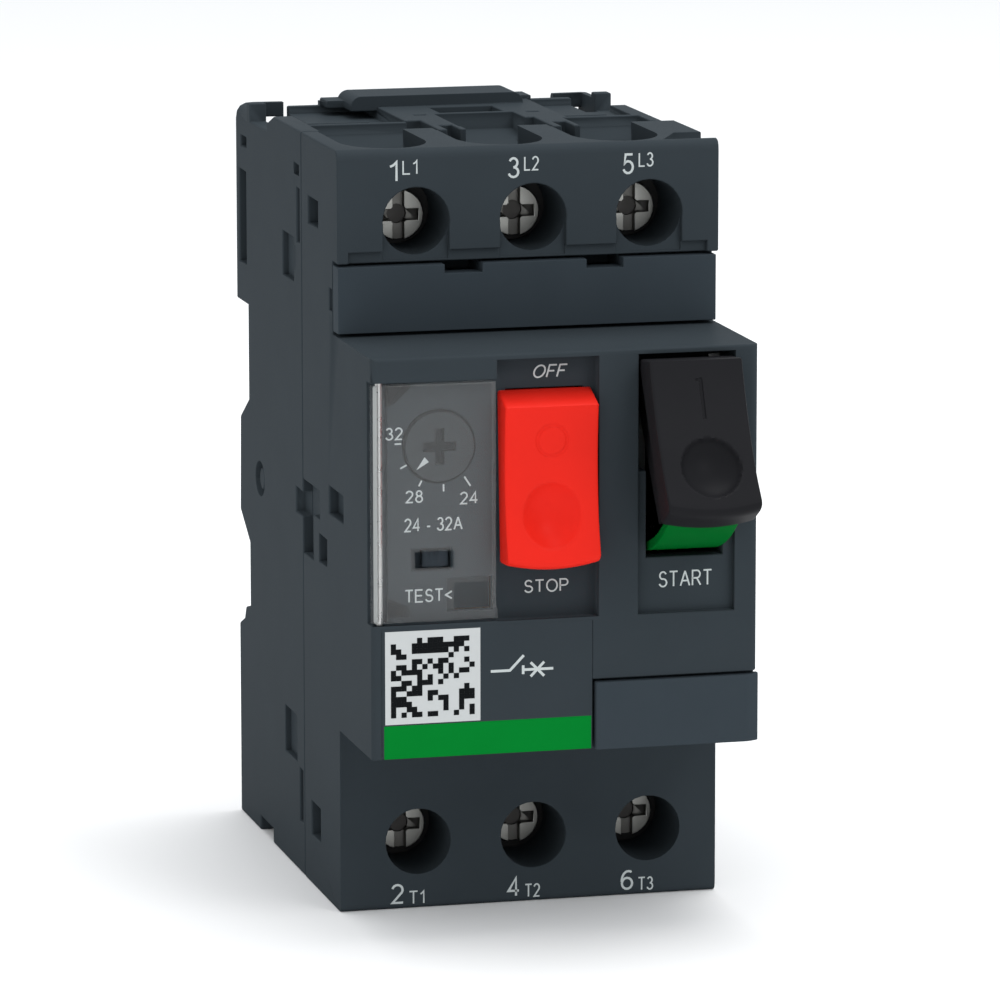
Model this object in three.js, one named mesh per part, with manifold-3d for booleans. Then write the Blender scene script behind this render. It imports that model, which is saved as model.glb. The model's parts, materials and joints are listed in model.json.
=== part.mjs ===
// Three-pole push-button motor protection breaker for a 35 mm rail, as an assembly of separate pieces.
// Millimetres, +Z up. X runs to the right, Y from the front to the back. The model is drawn with Y = 0 at
// the front of the terminals, Z = 0 at the bottom and X = 0 at the middle, and the exported group moves it so
// that the origin is the middle of the rail, on the plane of the rail seat.
import * as THREE from "three";
import { mergeVertices } from "three/addons/utils/BufferGeometryUtils.js";
import Module from "manifold-3d";

const wasm = await Module();
wasm.setup();

// ---------------------------------------------------------------- driving dimensions
const HALF_WIDTH = 22.25; // the device is 44.5 wide
const TOP = 87.6; // height of the terminal faces
const SEAT_Y = 48.5; // rail seat pads
const BACK_Y = 48.2; // rear wall of the base
const LOBE_Y = 54.4; // rear of the corner posts
const RAIL_Z = 45; // middle of the rail
const NOSE_Y = -16.5; // front of the raised middle
const NOSE_LOW = 21.26;
const NOSE_HIGH = 66.5;
const PART_LINE = 18.5; // where the front cover meets the rear base
const GAP = 0.3; // air between pieces that touch on the real device
const WALL = 1.8; // moulded wall
const POLES = [-13.1, 0.5, 14.1]; // middle of each pole
const BARRIERS = [-6.3, 7.3]; // middle of each wall between poles

// Terminals: one screw, one clamp plate and one conductor each, at the top (line) and the bottom (load).
const LINE = { screwZ: 79, headY: 8.7, plate: [73, 82.4], marks: ["1", "3", "5"] };
const LOAD = { screwZ: 7.85, headY: 9, plate: [4.4, 14], marks: ["2", "4", "6"] };
const WELL = { z: 79.37, r: 3.87, recess: 0.8, recessLow: 75 }; // screw wells of the line terminals
const LOAD_WELL = { z: 7.85, r: 3.83 };
const HEAD_R = 2.9;
const HEAD_THICK = 1.6;
const CROSS = { half: 0.66, arm: 2.3, deep: 1.1, hollow: 1.1, hollowDeep: 1.5 }; // recess in a screw head
const SHANK_R = 1.9;
const SHANK_END = 11.5; // end of the shank behind the front of the head
const CLAMP = { front: 1.8, back: 3, halfX: 4.7, halfZ: 4.1 }; // behind the front of the head
const PLATE = { front: 7.8, back: 9.3, halfX: 4.4 };
const CAVITY_HALF_X = 5.2;

// Push-buttons: both turn on one shaft. A button is drawn about the shaft, n forward and s down.
const SHAFT = { y: -9.4, z: 64.3, r: 0.8 };
const BUTTON_HALF = 5.37;
const BODY_HALF = 4.15;
const STOP = { x: -2.03, face: 8.6, back: 5, tilt: 3.3 };
const START = { x: 13.95, face: 9.8, back: 5.9, tilt: 29.4 };
const SKIRT_R = 21.6;

// Recesses in the front of the raised middle.
const STOP_BAY = [-7.8, 3.75];
const START_BAY = [8.35, 19.55];
const BAY_TOP = 65.94;
const BAY_LOW = 36.45;
const RECESS_Y = -14.5; // floor behind the clear cover and the red button
const LABEL_FLOOR_Y = -15.6; // floor under the black button
const LABEL = { x: [-20.95, 2.75], top: 35.85, thick: 0.3 };
const FRONT_WALL_Y = -13.2; // back of the front wall

const COVER = { x: [-20.3, -8.1], z: [36.8, 63.5], y: [-16.5, -15.2] };
const COVER_POCKET = [36.5, 63.8];
const HINGE = { x: -21.2, y: -15.45, r: 0.95 };
const DIAL = { x: -14.1, z: 56.2, r: 3.95 };
const TEST = { x: [-17.3, -12.7], z: [42.2, 44.7] };
const TEST_WINDOW = { x: [-17.3, -12.7], z: [42.7, 44.7] }; // through the clear cover

// ---------------------------------------------------------------- solids
function solid(geometry) {
  const bare = new THREE.BufferGeometry();
  bare.setAttribute("position", geometry.getAttribute("position"));
  if (geometry.index) bare.setIndex(geometry.index);
  const merged = mergeVertices(bare, 1e-4);
  const corners = merged.index.array;
  const kept = [];
  for (let i = 0; i < corners.length; i += 3) {
    const [a, b, c] = corners.slice(i, i + 3);
    if (a !== b && b !== c && c !== a) kept.push(a, b, c);
  }
  const vertProperties = new Float32Array(merged.attributes.position.array);
  const triVerts = new Uint32Array(kept);
  return new wasm.Manifold(new wasm.Mesh({ numProp: 3, vertProperties, triVerts }));
}

function block([x0, x1], [y0, y1], [z0, z1]) {
  const box = new THREE.BoxGeometry(x1 - x0, y1 - y0, z1 - z0);
  return solid(box.translate((x0 + x1) / 2, (y0 + y1) / 2, (z0 + z1) / 2));
}

// How an outline drawn in a plane is stood up: along x it is drawn in (y, z), along y in (x, z) and along z
// in (x, y).
const STAND = {
  x: new THREE.Matrix4().set(0, 0, 1, 0, 1, 0, 0, 0, 0, 1, 0, 0, 0, 0, 0, 1),
  y: new THREE.Matrix4().set(1, 0, 0, 0, 0, 0, -1, 0, 0, 1, 0, 0, 0, 0, 0, 1),
  z: new THREE.Matrix4(),
};

const shapeOf = (points) => new THREE.Shape(points.map(([a, b]) => new THREE.Vector2(a, b)));

function prism(axis, outline, [from, to], curveSegments = 12) {
  const shape = Array.isArray(outline) ? shapeOf(outline) : outline;
  const depth = to - from;
  const geometry = new THREE.ExtrudeGeometry(shape, { depth, bevelEnabled: false, curveSegments });
  geometry.translate(0, 0, axis === "y" ? -to : from);
  return solid(geometry.applyMatrix4(STAND[axis]));
}

// An outline whose corners are rounded off by the third number of a point, where it has one.
function softened(points) {
  const shape = new THREE.Shape();
  const corner = (i) => new THREE.Vector2(...points.at(i % points.length));
  points.forEach(([, , radius = 0], i) => {
    const here = corner(i);
    const towards = (other) => here.clone().add(other.sub(here).setLength(radius));
    const before = towards(corner(i - 1));
    const after = towards(corner(i + 1));
    if (i === 0) shape.moveTo(before.x, before.y);
    else shape.lineTo(before.x, before.y);
    if (radius > 0) shape.quadraticCurveTo(here.x, here.y, after.x, after.y);
  });
  return shape;
}

function rod(axis, [a, b], radius, span, sides = 24) {
  const shape = new THREE.Shape().absarc(a, b, radius, 0, 2 * Math.PI);
  return prism(axis, shape, span, sides / 2);
}

// A ball, for a dished recess.
function ball([x, y, z], radius) {
  return solid(new THREE.SphereGeometry(radius, 32, 16).translate(x, y, z));
}

const join = (first, ...others) => others.reduce((sum, s) => sum.add(s), first);
const cut = (first, ...others) => others.reduce((rest, s) => rest.subtract(s), first);
const about = (middle, half) => [middle - half, middle + half];
const mirrorX = ([x0, x1]) => [-x1, -x0];

// A coil spring wound round the z axis from z = 0.
function helix(radius, length, turns, wire, sides = 5, stepsPerTurn = 8) {
  const points = [];
  const steps = turns * stepsPerTurn;
  for (let i = 0; i <= steps; i++) {
    const angle = (2 * Math.PI * i) / stepsPerTurn;
    const rise = wire + ((length - 2 * wire) * i) / steps;
    points.push(new THREE.Vector3(radius * Math.cos(angle), radius * Math.sin(angle), rise));
  }
  const section = new THREE.Shape().absarc(0, 0, wire, 0, 2 * Math.PI);
  const extrudePath = new THREE.CatmullRomCurve3(points);
  const options = { extrudePath, steps, bevelEnabled: false, curveSegments: sides / 2 };
  return solid(new THREE.ExtrudeGeometry(section, options));
}

// ---------------------------------------------------------------- nodes and materials
const device = new THREE.Group();
device.position.set(0, -SEAT_Y, -RAIL_Z);

function paint(color, roughness, metalness = 0, extra = {}) {
  return () => new THREE.MeshStandardMaterial({ color, roughness, metalness, ...extra });
}

const paints = {
  housing: paint(0x373e44, 0.5),
  strip: paint(0x363d43, 0.5),
  black: paint(0x28282a, 0.35),
  green: paint(0x0a5f23, 0.4),
  red: paint(0xf02d26, 0.35),
  clear: paint(0xc9d0d4, 0.1, 0, { transparent: true, opacity: 0.35 }),
  dial: paint(0x4a5054, 0.5),
  label: paint(0x2f363b, 0.55),
  steel: paint(0x9b9a95, 0.35, 0.9),
  spring: paint(0x8a8a88, 0.3, 1),
  brass: paint(0xb08d4a, 0.35, 1),
  copper: paint(0xb0663c, 0.4, 1),
  silver: paint(0xc8c8c4, 0.3, 1),
  inner: paint(0x20242a, 0.6),
  grey: paint(0x8b8f90, 0.5),
};

function addPart(name, shape, finish, parent = device) {
  const mesh = shape.getMesh();
  const geometry = new THREE.BufferGeometry();
  geometry.setAttribute("position", new THREE.BufferAttribute(mesh.vertProperties, 3));
  geometry.setIndex(new THREE.BufferAttribute(mesh.triVerts, 1));
  geometry.computeVertexNormals();
  const part = new THREE.Mesh(geometry, paints[finish]());
  part.name = name;
  parent.add(part);
  return part;
}

// ---------------------------------------------------------------- side wall details
// Shallow windows and latch pockets in both side walls: the stretch along y, the stretch along z, the depth.
const FRONT_SIDE_POCKETS = [
  { y: [9.9, 15.05], z: [77.6, 80.6], depth: 1.2 },
  { y: [2.8, 4.3], z: [69.05, 71.5], depth: 1.2 },
  { y: [9.85, 18.6], z: [43.95, 47.2], depth: 1.1 },
  { y: [13.2, 18.6], z: [38.6, 44.2], depth: 1.1 },
  { y: [6.1, 10.2], z: [39.1, 42.2], depth: 1.1 },
  { y: [-2.3, 4.9], z: [45.6, 48.7], depth: 1.1 },
  { y: [10.3, 15], z: [5.9, 9.8], depth: 1.2 },
];
const BASE_SIDE_POCKETS = [
  { y: [19.6, 22.3], z: [82.3, 83.6], depth: 1.2 },
  { y: [19.5, 21.1], z: [74.6, 80.8], depth: 0.8 },
  { y: [22.6, 28.7], z: [69.7, 74.8], depth: 0.7 },
  { y: [22, 25], z: [71.2, 73.9], depth: 1.2 },
  { y: [18.6, 22.3], z: [42.8, 45.6], depth: 1.1 },
  { y: [22.4, 29], z: [12.9, 18.3], depth: 0.7 },
  { y: [22.35, 25.5], z: [14.5, 17.3], depth: 1.2 },
  { y: [19.5, 21.2], z: [6.2, 12.3], depth: 0.8 },
  { y: [48.9, 52.9], z: [68, 79.1], depth: 3 },
  { y: [48.6, 51.8], z: [82.1, 83.3], depth: 1.5 },
];

function sidePockets(pockets) {
  const outside = HALF_WIDTH + 1;
  return pockets.flatMap(({ y, z, depth }) => {
    const right = [HALF_WIDTH - depth, outside];
    return [block(mirrorX(right), y, z), block(right, y, z)];
  });
}

// Stadium pocket in each side wall of the base, with a round boss left standing in it.
function sideBossPockets() {
  const depth = 1.1;
  const middle = { y: 42.1, z: 43.2 };
  const outline = new THREE.Shape().absellipse(middle.y, middle.z, 2.55, 2.1, 0, 2 * Math.PI);
  const right = [HALF_WIDTH - depth, HALF_WIDTH + 1];
  const boss = [HALF_WIDTH - depth - 0.1, HALF_WIDTH - 0.25];
  const bossRod = (x) => rod("x", [middle.y, middle.z], 1.3, x, 16);
  const pocket = (x, bossX) => cut(prism("x", outline, x, 20), bossRod(bossX));
  return [pocket(right, boss), pocket(mirrorX(right), mirrorX(boss))];
}

// ---------------------------------------------------------------- front cover
const COVER_BACK = PART_LINE - GAP / 2;
const THROUGH = PART_LINE + 2; // past the open back of the front cover

// Screw well, clamp cavity and wire entry of the three line terminals. The entry is an oval scoop in the top
// that runs on into the rear base.
const SCOOP = { shift: -2.2, halfX: 5, halfY: 6.8, y: 8, floor: 84.2 };

function lineTerminalCuts() {
  const { screwZ, headY } = LINE;
  const { shift, halfX, halfY, y, floor } = SCOOP;
  return POLES.flatMap((x) => {
    const channel = new THREE.Shape().absarc(x, WELL.z, WELL.r - 0.05, 0, Math.PI);
    channel.lineTo(x - WELL.r + 0.05, WELL.recessLow).lineTo(x + WELL.r - 0.05, WELL.recessLow);
    const oval = new THREE.Shape().absellipse(x + shift, y, halfX, halfY, 0, 2 * Math.PI);
    return [
      prism("y", channel, [-1, WELL.recess]),
      rod("y", [x, WELL.z], WELL.r, [-1, headY + 3], 32),
      block(about(x, CAVITY_HALF_X), [headY + CLAMP.front - GAP, THROUGH], [72.6, 83.2]),
      prism("z", oval, [floor, TOP + 1], 18),
      block(about(x + shift, halfX), [y, THROUGH], [floor, TOP + 1]),
      block([x - 4.4, x + 4], [headY + CLAMP.back + 0.1, headY + PLATE.front - 0.1], [83, floor + 0.5]),
    ];
  });
}

// The same for the three load terminals, open at the bottom.
function loadTerminalCuts() {
  const { screwZ, headY } = LOAD;
  return POLES.flatMap((x) => [
    rod("y", [x, LOAD_WELL.z], LOAD_WELL.r, [-1, headY + 3], 32),
    block(about(x, CAVITY_HALF_X), [headY + CLAMP.front - GAP, THROUGH], [screwZ - 4.5, 14.6]),
    block(about(x, 4.5), [headY + CLAMP.back + 0.1, headY + PLATE.front - 0.1], [-1, screwZ - 4]),
  ]);
}

// The drive: each button has a link behind it that slides in a guide. The start link tips the lever, which
// draws the contact carrier forward by the pin in its fork.
const LEVER = { x: 6.9, half: 0.8, y: 16.5, z: 50.4, high: 58.2, ribs: [4.9, 10.4] };
const FORK_PIN = { y: 16.5, z: 45, r: 0.8 };
const START_LINK = { x: [10.8, 12.6], z: [56, 58] };
const STOP_LINK = { x: [-3.2, -1.2], z: [56, 58] };
const GUIDE_Y = [0, 1.5];
const TRIP = { y: 10, z: 53, r: 1.3 };
const COIL = { y: 8, z: [26, 38.4], r: 4.4, bore: 2.2 };
const BAY_WALL = 1.2;

// Walls inside the raised middle: the sides of the two button bays, which hold the shaft, the ribs of the
// lever pin, the guides of the links and the seats of the coils and bimetals.
function innerWalls() {
  const high = NOSE_HIGH - WALL / 2;
  const low = NOSE_LOW + WALL / 2;
  const sides = [STOP_BAY[0] - BAY_WALL, STOP_BAY[1], START_BAY[0] - BAY_WALL, START_BAY[1]];
  const bays = sides.map((x) => block([x, x + BAY_WALL], [FRONT_WALL_Y - 0.2, -5.5], [41, high]));
  const ribs = LEVER.ribs.map((x) => block(about(x, 0.5), [14.2, COVER_BACK], [48.4, high]));
  const guides = [START_LINK, STOP_LINK].map(({ x, z }) => {
    return block([x[0] - 1.2, x[1] + 1.2], GUIDE_Y, [z[0] - 1.2, high]);
  });
  const coilSeats = POLES.map((x) => block(about(x, 4.4), about(COIL.y, COIL.r), [low, COIL.z[0] - GAP]));
  const footSeats = POLES.map((x) => block(about(x, 2.6), [COIL.y, 16], [low, 23]));
  return [...bays, ...ribs, ...guides, ...coilSeats, ...footSeats];
}

function linkSlot({ x, z }) {
  const loose = ([low, high]) => [low - GAP, high + GAP];
  return block(loose(x), [GUIDE_Y[0] - 1, GUIDE_Y[1] + 1], loose(z));
}

// Recesses and slots seen from the front.
function noseCuts() {
  const front = NOSE_Y - 1;
  const through = FRONT_WALL_Y + 0.1;
  const hub = [-13.3, -6];
  return [
    block([STOP_BAY[0] - 0.1, STOP_BAY[1]], [front, RECESS_Y], [BAY_LOW, BAY_TOP]),
    block(about(STOP.x, BODY_HALF + 0.3), [RECESS_Y - 1, through], [42.7, 62.3]),
    block(STOP_BAY, hub, [60, BAY_TOP]),
    block(START_BAY, [front, LABEL_FLOOR_Y], [BAY_LOW, BAY_TOP]),
    block(about(START.x, BODY_HALF + 0.3), [LABEL_FLOOR_Y - 1, through], [42.7, 53]),
    block(START_BAY, [LABEL_FLOOR_Y - 1, through], [52.6, BAY_TOP]),
    block(START_BAY, hub, [60, BAY_TOP]),
    block([-HALF_WIDTH - 1, STOP_BAY[0]], [front, RECESS_Y], COVER_POCKET),
    block([-HALF_WIDTH - 1, -20], [front, -14.2], COVER_POCKET),
    rod("z", [HINGE.x, HINGE.y], 0.7, [34.9, 65.4], 12),
    rod("y", [DIAL.x, DIAL.z], DIAL.r + 0.2, [RECESS_Y - 1, through], 36),
    block(TEST.x, [RECESS_Y - 1, through], TEST.z),
    block([-13.2, -7.9], [RECESS_Y - 1, through], [37.4, 41.2]),
    block([LABEL.x[0] - GAP / 2, LABEL.x[1] + GAP], [front, -15.9], [NOSE_LOW - 1, LABEL.top + GAP / 2]),
    block([3.05, HALF_WIDTH + 1], [front, -15.1], [NOSE_LOW - 1, 29.3]),
    ...[6.5, 18.5].map((x) => rod("y", [x, 25.2], 1.1, [front, through], 12)),
    rod("x", [SHAFT.y, SHAFT.z], SHAFT.r + GAP, [STOP_BAY[0] - BAY_WALL, START_BAY[1] + BAY_WALL], 16),
    rod("x", [LEVER.y, LEVER.z], 1.1, [LEVER.ribs[0] - 1, LEVER.ribs[1] + 1], 16),
    linkSlot(START_LINK),
    linkSlot(STOP_LINK),
  ];
}

// Small three-cornered gussets that carry the ends of the clear cover's hinge.
function hingeGussets() {
  const back = -20.1;
  const top = [[back, 63.2], [-18.3, 63.2], [back, 61]];
  const low = [[back, 36.4], [-18.3, 36.4], [-18.3, 38.2], [back, 38.9]];
  return [top, low].map((outline) => prism("y", outline, [RECESS_Y - 0.45, RECESS_Y + 0.2]));
}

const STRIP_RECESS_Y = 2.6;
const STRIP_NOTCHES = [
  [-9.9, -5.5],
  [6.65, 10.96],
];

// The walls between the scoops are notched where the prongs of the rear base reach over them.
const PRONGS = { starts: [-6, 7.6], reach: 16.5, low: 84.5 };

function prongNotches() {
  const y = [PRONGS.reach - GAP, THROUGH];
  const z = [PRONGS.low - GAP, TOP + 1];
  return PRONGS.starts.map((x) => block([x - 0.8, x + 3.2], y, z));
}

// Sunken corner beside the third scoop, open to the right.
function cornerRecess() {
  const plan = [
    [16, 1.3],
    [HALF_WIDTH + 1, 1.3],
    [HALF_WIDTH + 1, 7.2],
    [18.9, 7.1],
  ];
  return prism("z", plan, [85.4, TOP + 1]);
}

function frontCover() {
  const side = [
    [0, 0, 0.8],
    [COVER_BACK, 0],
    [COVER_BACK, TOP],
    [0, TOP, 1.2],
    [0, NOSE_HIGH],
    [NOSE_Y, NOSE_HIGH, 0.5],
    [NOSE_Y, NOSE_LOW, 0.4],
    [0, NOSE_LOW],
  ];
  const plan = [
    [-HALF_WIDTH, NOSE_Y, 0.9],
    [HALF_WIDTH, NOSE_Y, 0.9],
    [HALF_WIDTH, THROUGH],
    [-HALF_WIDTH, THROUGH],
  ];
  const across = prism("x", softened(side), [-HALF_WIDTH, HALF_WIDTH], 4);
  const outer = across.intersect(prism("z", softened(plan), [-1, TOP + 1], 4));
  const inside = about(0, HALF_WIDTH - WALL);
  const chamber = block(inside, [FRONT_WALL_Y, THROUGH], [NOSE_LOW + 1.6, NOSE_HIGH - 1.6]);
  const shell = join(cut(outer, chamber), ...innerWalls());
  const stripSeat = block([-HALF_WIDTH - 1, HALF_WIDTH + 1], [-1, STRIP_RECESS_Y], [NOSE_HIGH, 74.75]);
  const stripHoles = [-15, 15].map((x) => block(about(x, 2), [2, 5.2], [68.6, 71.4]));
  const notchHoles = STRIP_NOTCHES.map((x) => block(x, [2, 6.5], [73, 74.75]));
  const band = block([-20.9, 20.9], [-1, 0.6], [74.6, 76]);
  const journals = [
    [-21.3, -20],
    [20, 21.3],
  ].map((x) => rod("x", [TRIP.y, TRIP.z], TRIP.r + GAP, x, 16));
  const front = [stripSeat, band, ...stripHoles, ...notchHoles, ...noseCuts()];
  const top = [...prongNotches(), cornerRecess()];
  const terminals = [...lineTerminalCuts(), ...loadTerminalCuts()];
  const cuts = [...front, ...journals, ...top, ...terminals, ...sidePockets(FRONT_SIDE_POCKETS)];
  return join(cut(shell, ...cuts), ...hingeGussets());
}

// ---------------------------------------------------------------- rear base
const BASE_FRONT = PART_LINE + GAP / 2;
const CHAMBER_Z = [12.2, 75];
const CHAMBER_BACK = 46.3;
const BARRIER_HALF = 0.65;

function poleChambers() {
  const edges = [-HALF_WIDTH + WALL, ...BARRIERS.flatMap((x) => about(x, BARRIER_HALF)), HALF_WIDTH - WALL];
  const depth = [BASE_FRONT - 1, CHAMBER_BACK];
  const chambers = [0, 2, 4].map((i) => block([edges[i], edges[i + 1]], depth, CHAMBER_Z));
  const crossbar = block(about(0, HALF_WIDTH - WALL), [BASE_FRONT - 1, 26.2], [39.5, 50.5]);
  const leverRoom = block(about(LEVER.x, 2), [BASE_FRONT - 1, 23], [45, 61]);
  const shanks = POLES.flatMap((x) => [
    block(about(x, 2.5), [BASE_FRONT - 1, 24], about(LINE.screwZ, 2.5)),
    block(about(x, 2.5), [BASE_FRONT - 1, 26], about(LOAD.screwZ, 2.5)),
  ]);
  return [...chambers, crossbar, leverRoom, ...shanks];
}

// Pockets in the top of the base: a sloping one that goes on from each wire entry and a shallow ridged tray
// behind that, with forked lands left standing between the poles.
function topPockets() {
  const high = TOP + 1;
  const funnel = (x, back, rise) => {
    const slope = [
      [BASE_FRONT - 1, SCOOP.floor],
      [BASE_FRONT + 0.6, SCOOP.floor],
      [back, rise],
      [back, high],
      [BASE_FRONT - 1, high],
    ];
    return prism("x", slope, x);
  };
  const funnels = [
    funnel([-19.9, -8.3], 24.1, 86.4),
    funnel([-3.4, 6.1], 31.4, 85.7),
    funnel([10.4, 19.4], 24.1, 86.4),
  ];
  const trays = [
    block([-19.9, -8.3], [24.9, 46.9], [86.2, high]),
    block([-2.4, 5.2], [32.2, 38], [86.2, high]),
    block([11, 20.2], [24.9, 46.9], [86.2, high]),
  ];
  const forks = PRONGS.starts.flatMap((x) => [
    block([x - 2.4, x - 0.4], [BASE_FRONT - 1, 25.8], [PRONGS.low, high]),
    block([x + 0.6, x + 2.1], [BASE_FRONT - 1, 20.8], [PRONGS.low, high]),
    block([x + 0.1, x + 1.5], [30.3, 31.3], [85.5, high]),
  ]);
  const rearWall = [
    [-20.2, -13.6],
    [12, 20.2],
  ].map((x) => block(x, [46, BACK_Y + 1], [87.05, high]));
  return [...funnels, ...trays, ...forks, ...rearWall];
}

// The two prongs in front of each land, which reach over the walls of the front cover.
function prongs() {
  const span = [PRONGS.reach, BASE_FRONT + 0.3];
  return PRONGS.starts.flatMap((x) => [
    block([x - 0.4, x + 0.6], span, [PRONGS.low, TOP]),
    block([x + 2.1, x + 2.8], span, [PRONGS.low, TOP]),
  ]);
}

// The side walls drop in front of the corner posts. The left one ends in a slope, and the right one is lower.
function sideWallCuts() {
  const high = TOP + 1;
  const beyond = HALF_WIDTH + 1;
  const slope = [
    [33.4, TOP],
    [37.3, 86.35],
    [37.3, high],
    [33.4, high],
  ];
  return [
    prism("x", slope, [-beyond, -19.9]),
    block([-beyond, -17.4], [37.2, 46.5], [85.5, high]),
    block([17.4, beyond], [39.7, 46.5], [85.5, high]),
    block([20.2, beyond], [BASE_FRONT - 1, 39.8], [86.95, high]),
  ];
}

function ridges() {
  const rows = [26.2, 27.7, 29.2, 30.7, 32.2, 33.7];
  const spans = [
    [-18.5, -10.5],
    [12.2, 18.3],
  ];
  return spans.flatMap((x) => rows.map((y) => block(x, [y, y + 0.7], [86.1, 86.6])));
}

// The rounded bar across the top of the base at the back, and the step at each end of it.
function topBar() {
  const bar = { x: [-11.5, 9.5], y: [39.6, 46.8], round: 1.3, high: 88.9 };
  const [x0, x1] = bar.x;
  const outline = new THREE.Shape();
  outline.moveTo(x0, TOP - 0.5).lineTo(x0, bar.high - bar.round);
  outline.absarc(x0 + bar.round, bar.high - bar.round, bar.round, Math.PI, Math.PI / 2, true);
  outline.absarc(x1 - bar.round, bar.high - bar.round, bar.round, Math.PI / 2, 0, true);
  outline.lineTo(x1, TOP - 0.5);
  return [prism("y", outline, bar.y, 6), block([x0 - 2, x1 + 2], [43.5, 47.5], [TOP - 0.5, TOP + 0.4])];
}

// Corner posts behind the rail seat, the rib that fills the rail's channel, and the fixed rail hook.
const POST_X = { upper: [16.7, HALF_WIDTH], lower: [12.2, HALF_WIDTH] };
const POST_TOP = 87;

// An upper post is a wall at the side with a rim across the back, open under the rim.
function upperPost() {
  const inner = BACK_Y - 0.5;
  const [x0, x1] = POST_X.upper;
  const face = [
    [x0, 63.2],
    [x1, 63.2],
    [x1, POST_TOP, 2],
    [x0, POST_TOP - 0.1],
  ];
  const trim = [
    [inner - 1.2, 63.2],
    [LOBE_Y, 63.2],
    [LOBE_Y, POST_TOP, 1],
    [inner - 1.2, POST_TOP],
  ];
  const upright = prism("y", softened(face), [46.5, LOBE_Y], 4);
  const post = upright.intersect(prism("x", softened(trim), [0, 30], 3));
  const hollow = block([x0 - 1, 20.2], [40, 52.8], [84, TOP + 1]);
  const under = block([17.4, 20.2], [50, LOBE_Y + 1], [84, 85.2]);
  return cut(post, hollow, under);
}

function rearShapes() {
  const inner = BACK_Y - 0.5;
  const lower = [[inner, 26.7], [50.8, 26], [51.6, 24.5], [LOBE_Y, 23.4], [LOBE_Y, 0], [inner, 0]];
  const rib = [[inner, 52.2], [53.1, 49.1], [53.6, 37.5], [inner, 34]];
  const hook = [[inner, 63], [49.8, 63], [49.8, 61.5], [51.6, 62], [52.6, 66], [inner, 68]];
  const post = upperPost();
  const posts = [post, post.mirror([1, 0, 0])];
  posts.push(prism("x", lower, POST_X.lower), prism("x", lower, mirrorX(POST_X.lower)));
  const pads = [
    [53.4, 62.3],
    [27.6, 32.6],
  ].flatMap((z) => [block([12.5, 20.5], [inner, SEAT_Y], z), block([-20.5, -12.5], [inner, SEAT_Y], z)]);
  return [...posts, ...pads, prism("x", rib, [-HALF_WIDTH, HALF_WIDTH]), prism("x", hook, [-8, 8])];
}

// Guides that hold the sliding rail clip, and the peg its spring stands on.
const CLIP = { half: 8.8, y: [49.6, 52], z: [1.2, 28.7], window: { half: 2.6, z: [9, 20.2] } };
const CLIP_PEG_Z = [9.4, 12];

function clipGuides() {
  const sides = [-1, 1].map((s) => {
    const x = (a, b) => (s < 0 ? [-b, -a] : [a, b]);
    const wall = block(x(9.1, 12.4), [BACK_Y - 0.5, 53.6], [3, 25]);
    const lip = block(x(7.6, 9.4), [52.3, 53.6], [3, 25]);
    return join(wall, lip);
  });
  const peg = block([-2, 2], [BACK_Y - 0.5, 52], CLIP_PEG_Z);
  return [...sides, peg];
}

// Room behind the rear wall for the hollow of each upper post.
function postHollows() {
  const right = [17.4, 20.2];
  return [right, mirrorX(right)].map((x) => block(x, [45, 52.8], [84, TOP + 1]));
}

function rearBase() {
  const side = [
    [BASE_FRONT, 0],
    [36.1, 0],
    [36.1, 1.7],
    [43.15, 1.7],
    [43.15, 0],
    [BACK_Y, 0],
    [BACK_Y, TOP],
    [BASE_FRONT, TOP],
  ];
  const box = cut(prism("x", side, [-HALF_WIDTH, HALF_WIDTH]), ...postHollows());
  const outer = join(box, ...rearShapes(), ...clipGuides());
  const pockets = [...sidePockets(BASE_SIDE_POCKETS), ...sideBossPockets()];
  const shell = cut(outer, ...poleChambers(), ...topPockets(), ...sideWallCuts(), ...pockets);
  return join(shell, ...topBar(), ...ridges(), ...prongs());
}

// ---------------------------------------------------------------- front pieces
function accessoryStrip() {
  const z = [NOSE_HIGH + GAP + 0.1, 74.45];
  const plate = block([-HALF_WIDTH, HALF_WIDTH - 0.35], [-0.35, STRIP_RECESS_Y - GAP], z);
  const legs = [-15, 15].map((x) => block(about(x, 1.7), [1.5, 4.9], [68.9, 71.1]));
  const notches = STRIP_NOTCHES.map((x) => block(x, [-1, STRIP_RECESS_Y], [73.4, 75]));
  return cut(join(plate, ...legs), ...notches);
}

function markerPlate() {
  const front = -16.9;
  const right = HALF_WIDTH + 0.25;
  const plan = [
    [3.35, front, 0.3],
    [right - 1.3, front, 0.4],
    [right, front + 0.6, 0.3],
    [right, -15.4],
    [3.35, -15.4],
  ];
  const plate = prism("z", softened(plan), [NOSE_LOW, 29], 2);
  const legs = [6.5, 18.5].map((x) => rod("y", [x, 25.2], 0.8, [-15.6, -13], 12));
  return join(plate, ...legs);
}

const ratingLabel = () => block(LABEL.x, [NOSE_Y, NOSE_Y + LABEL.thick], [NOSE_LOW + 0.2, LABEL.top]);

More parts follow.
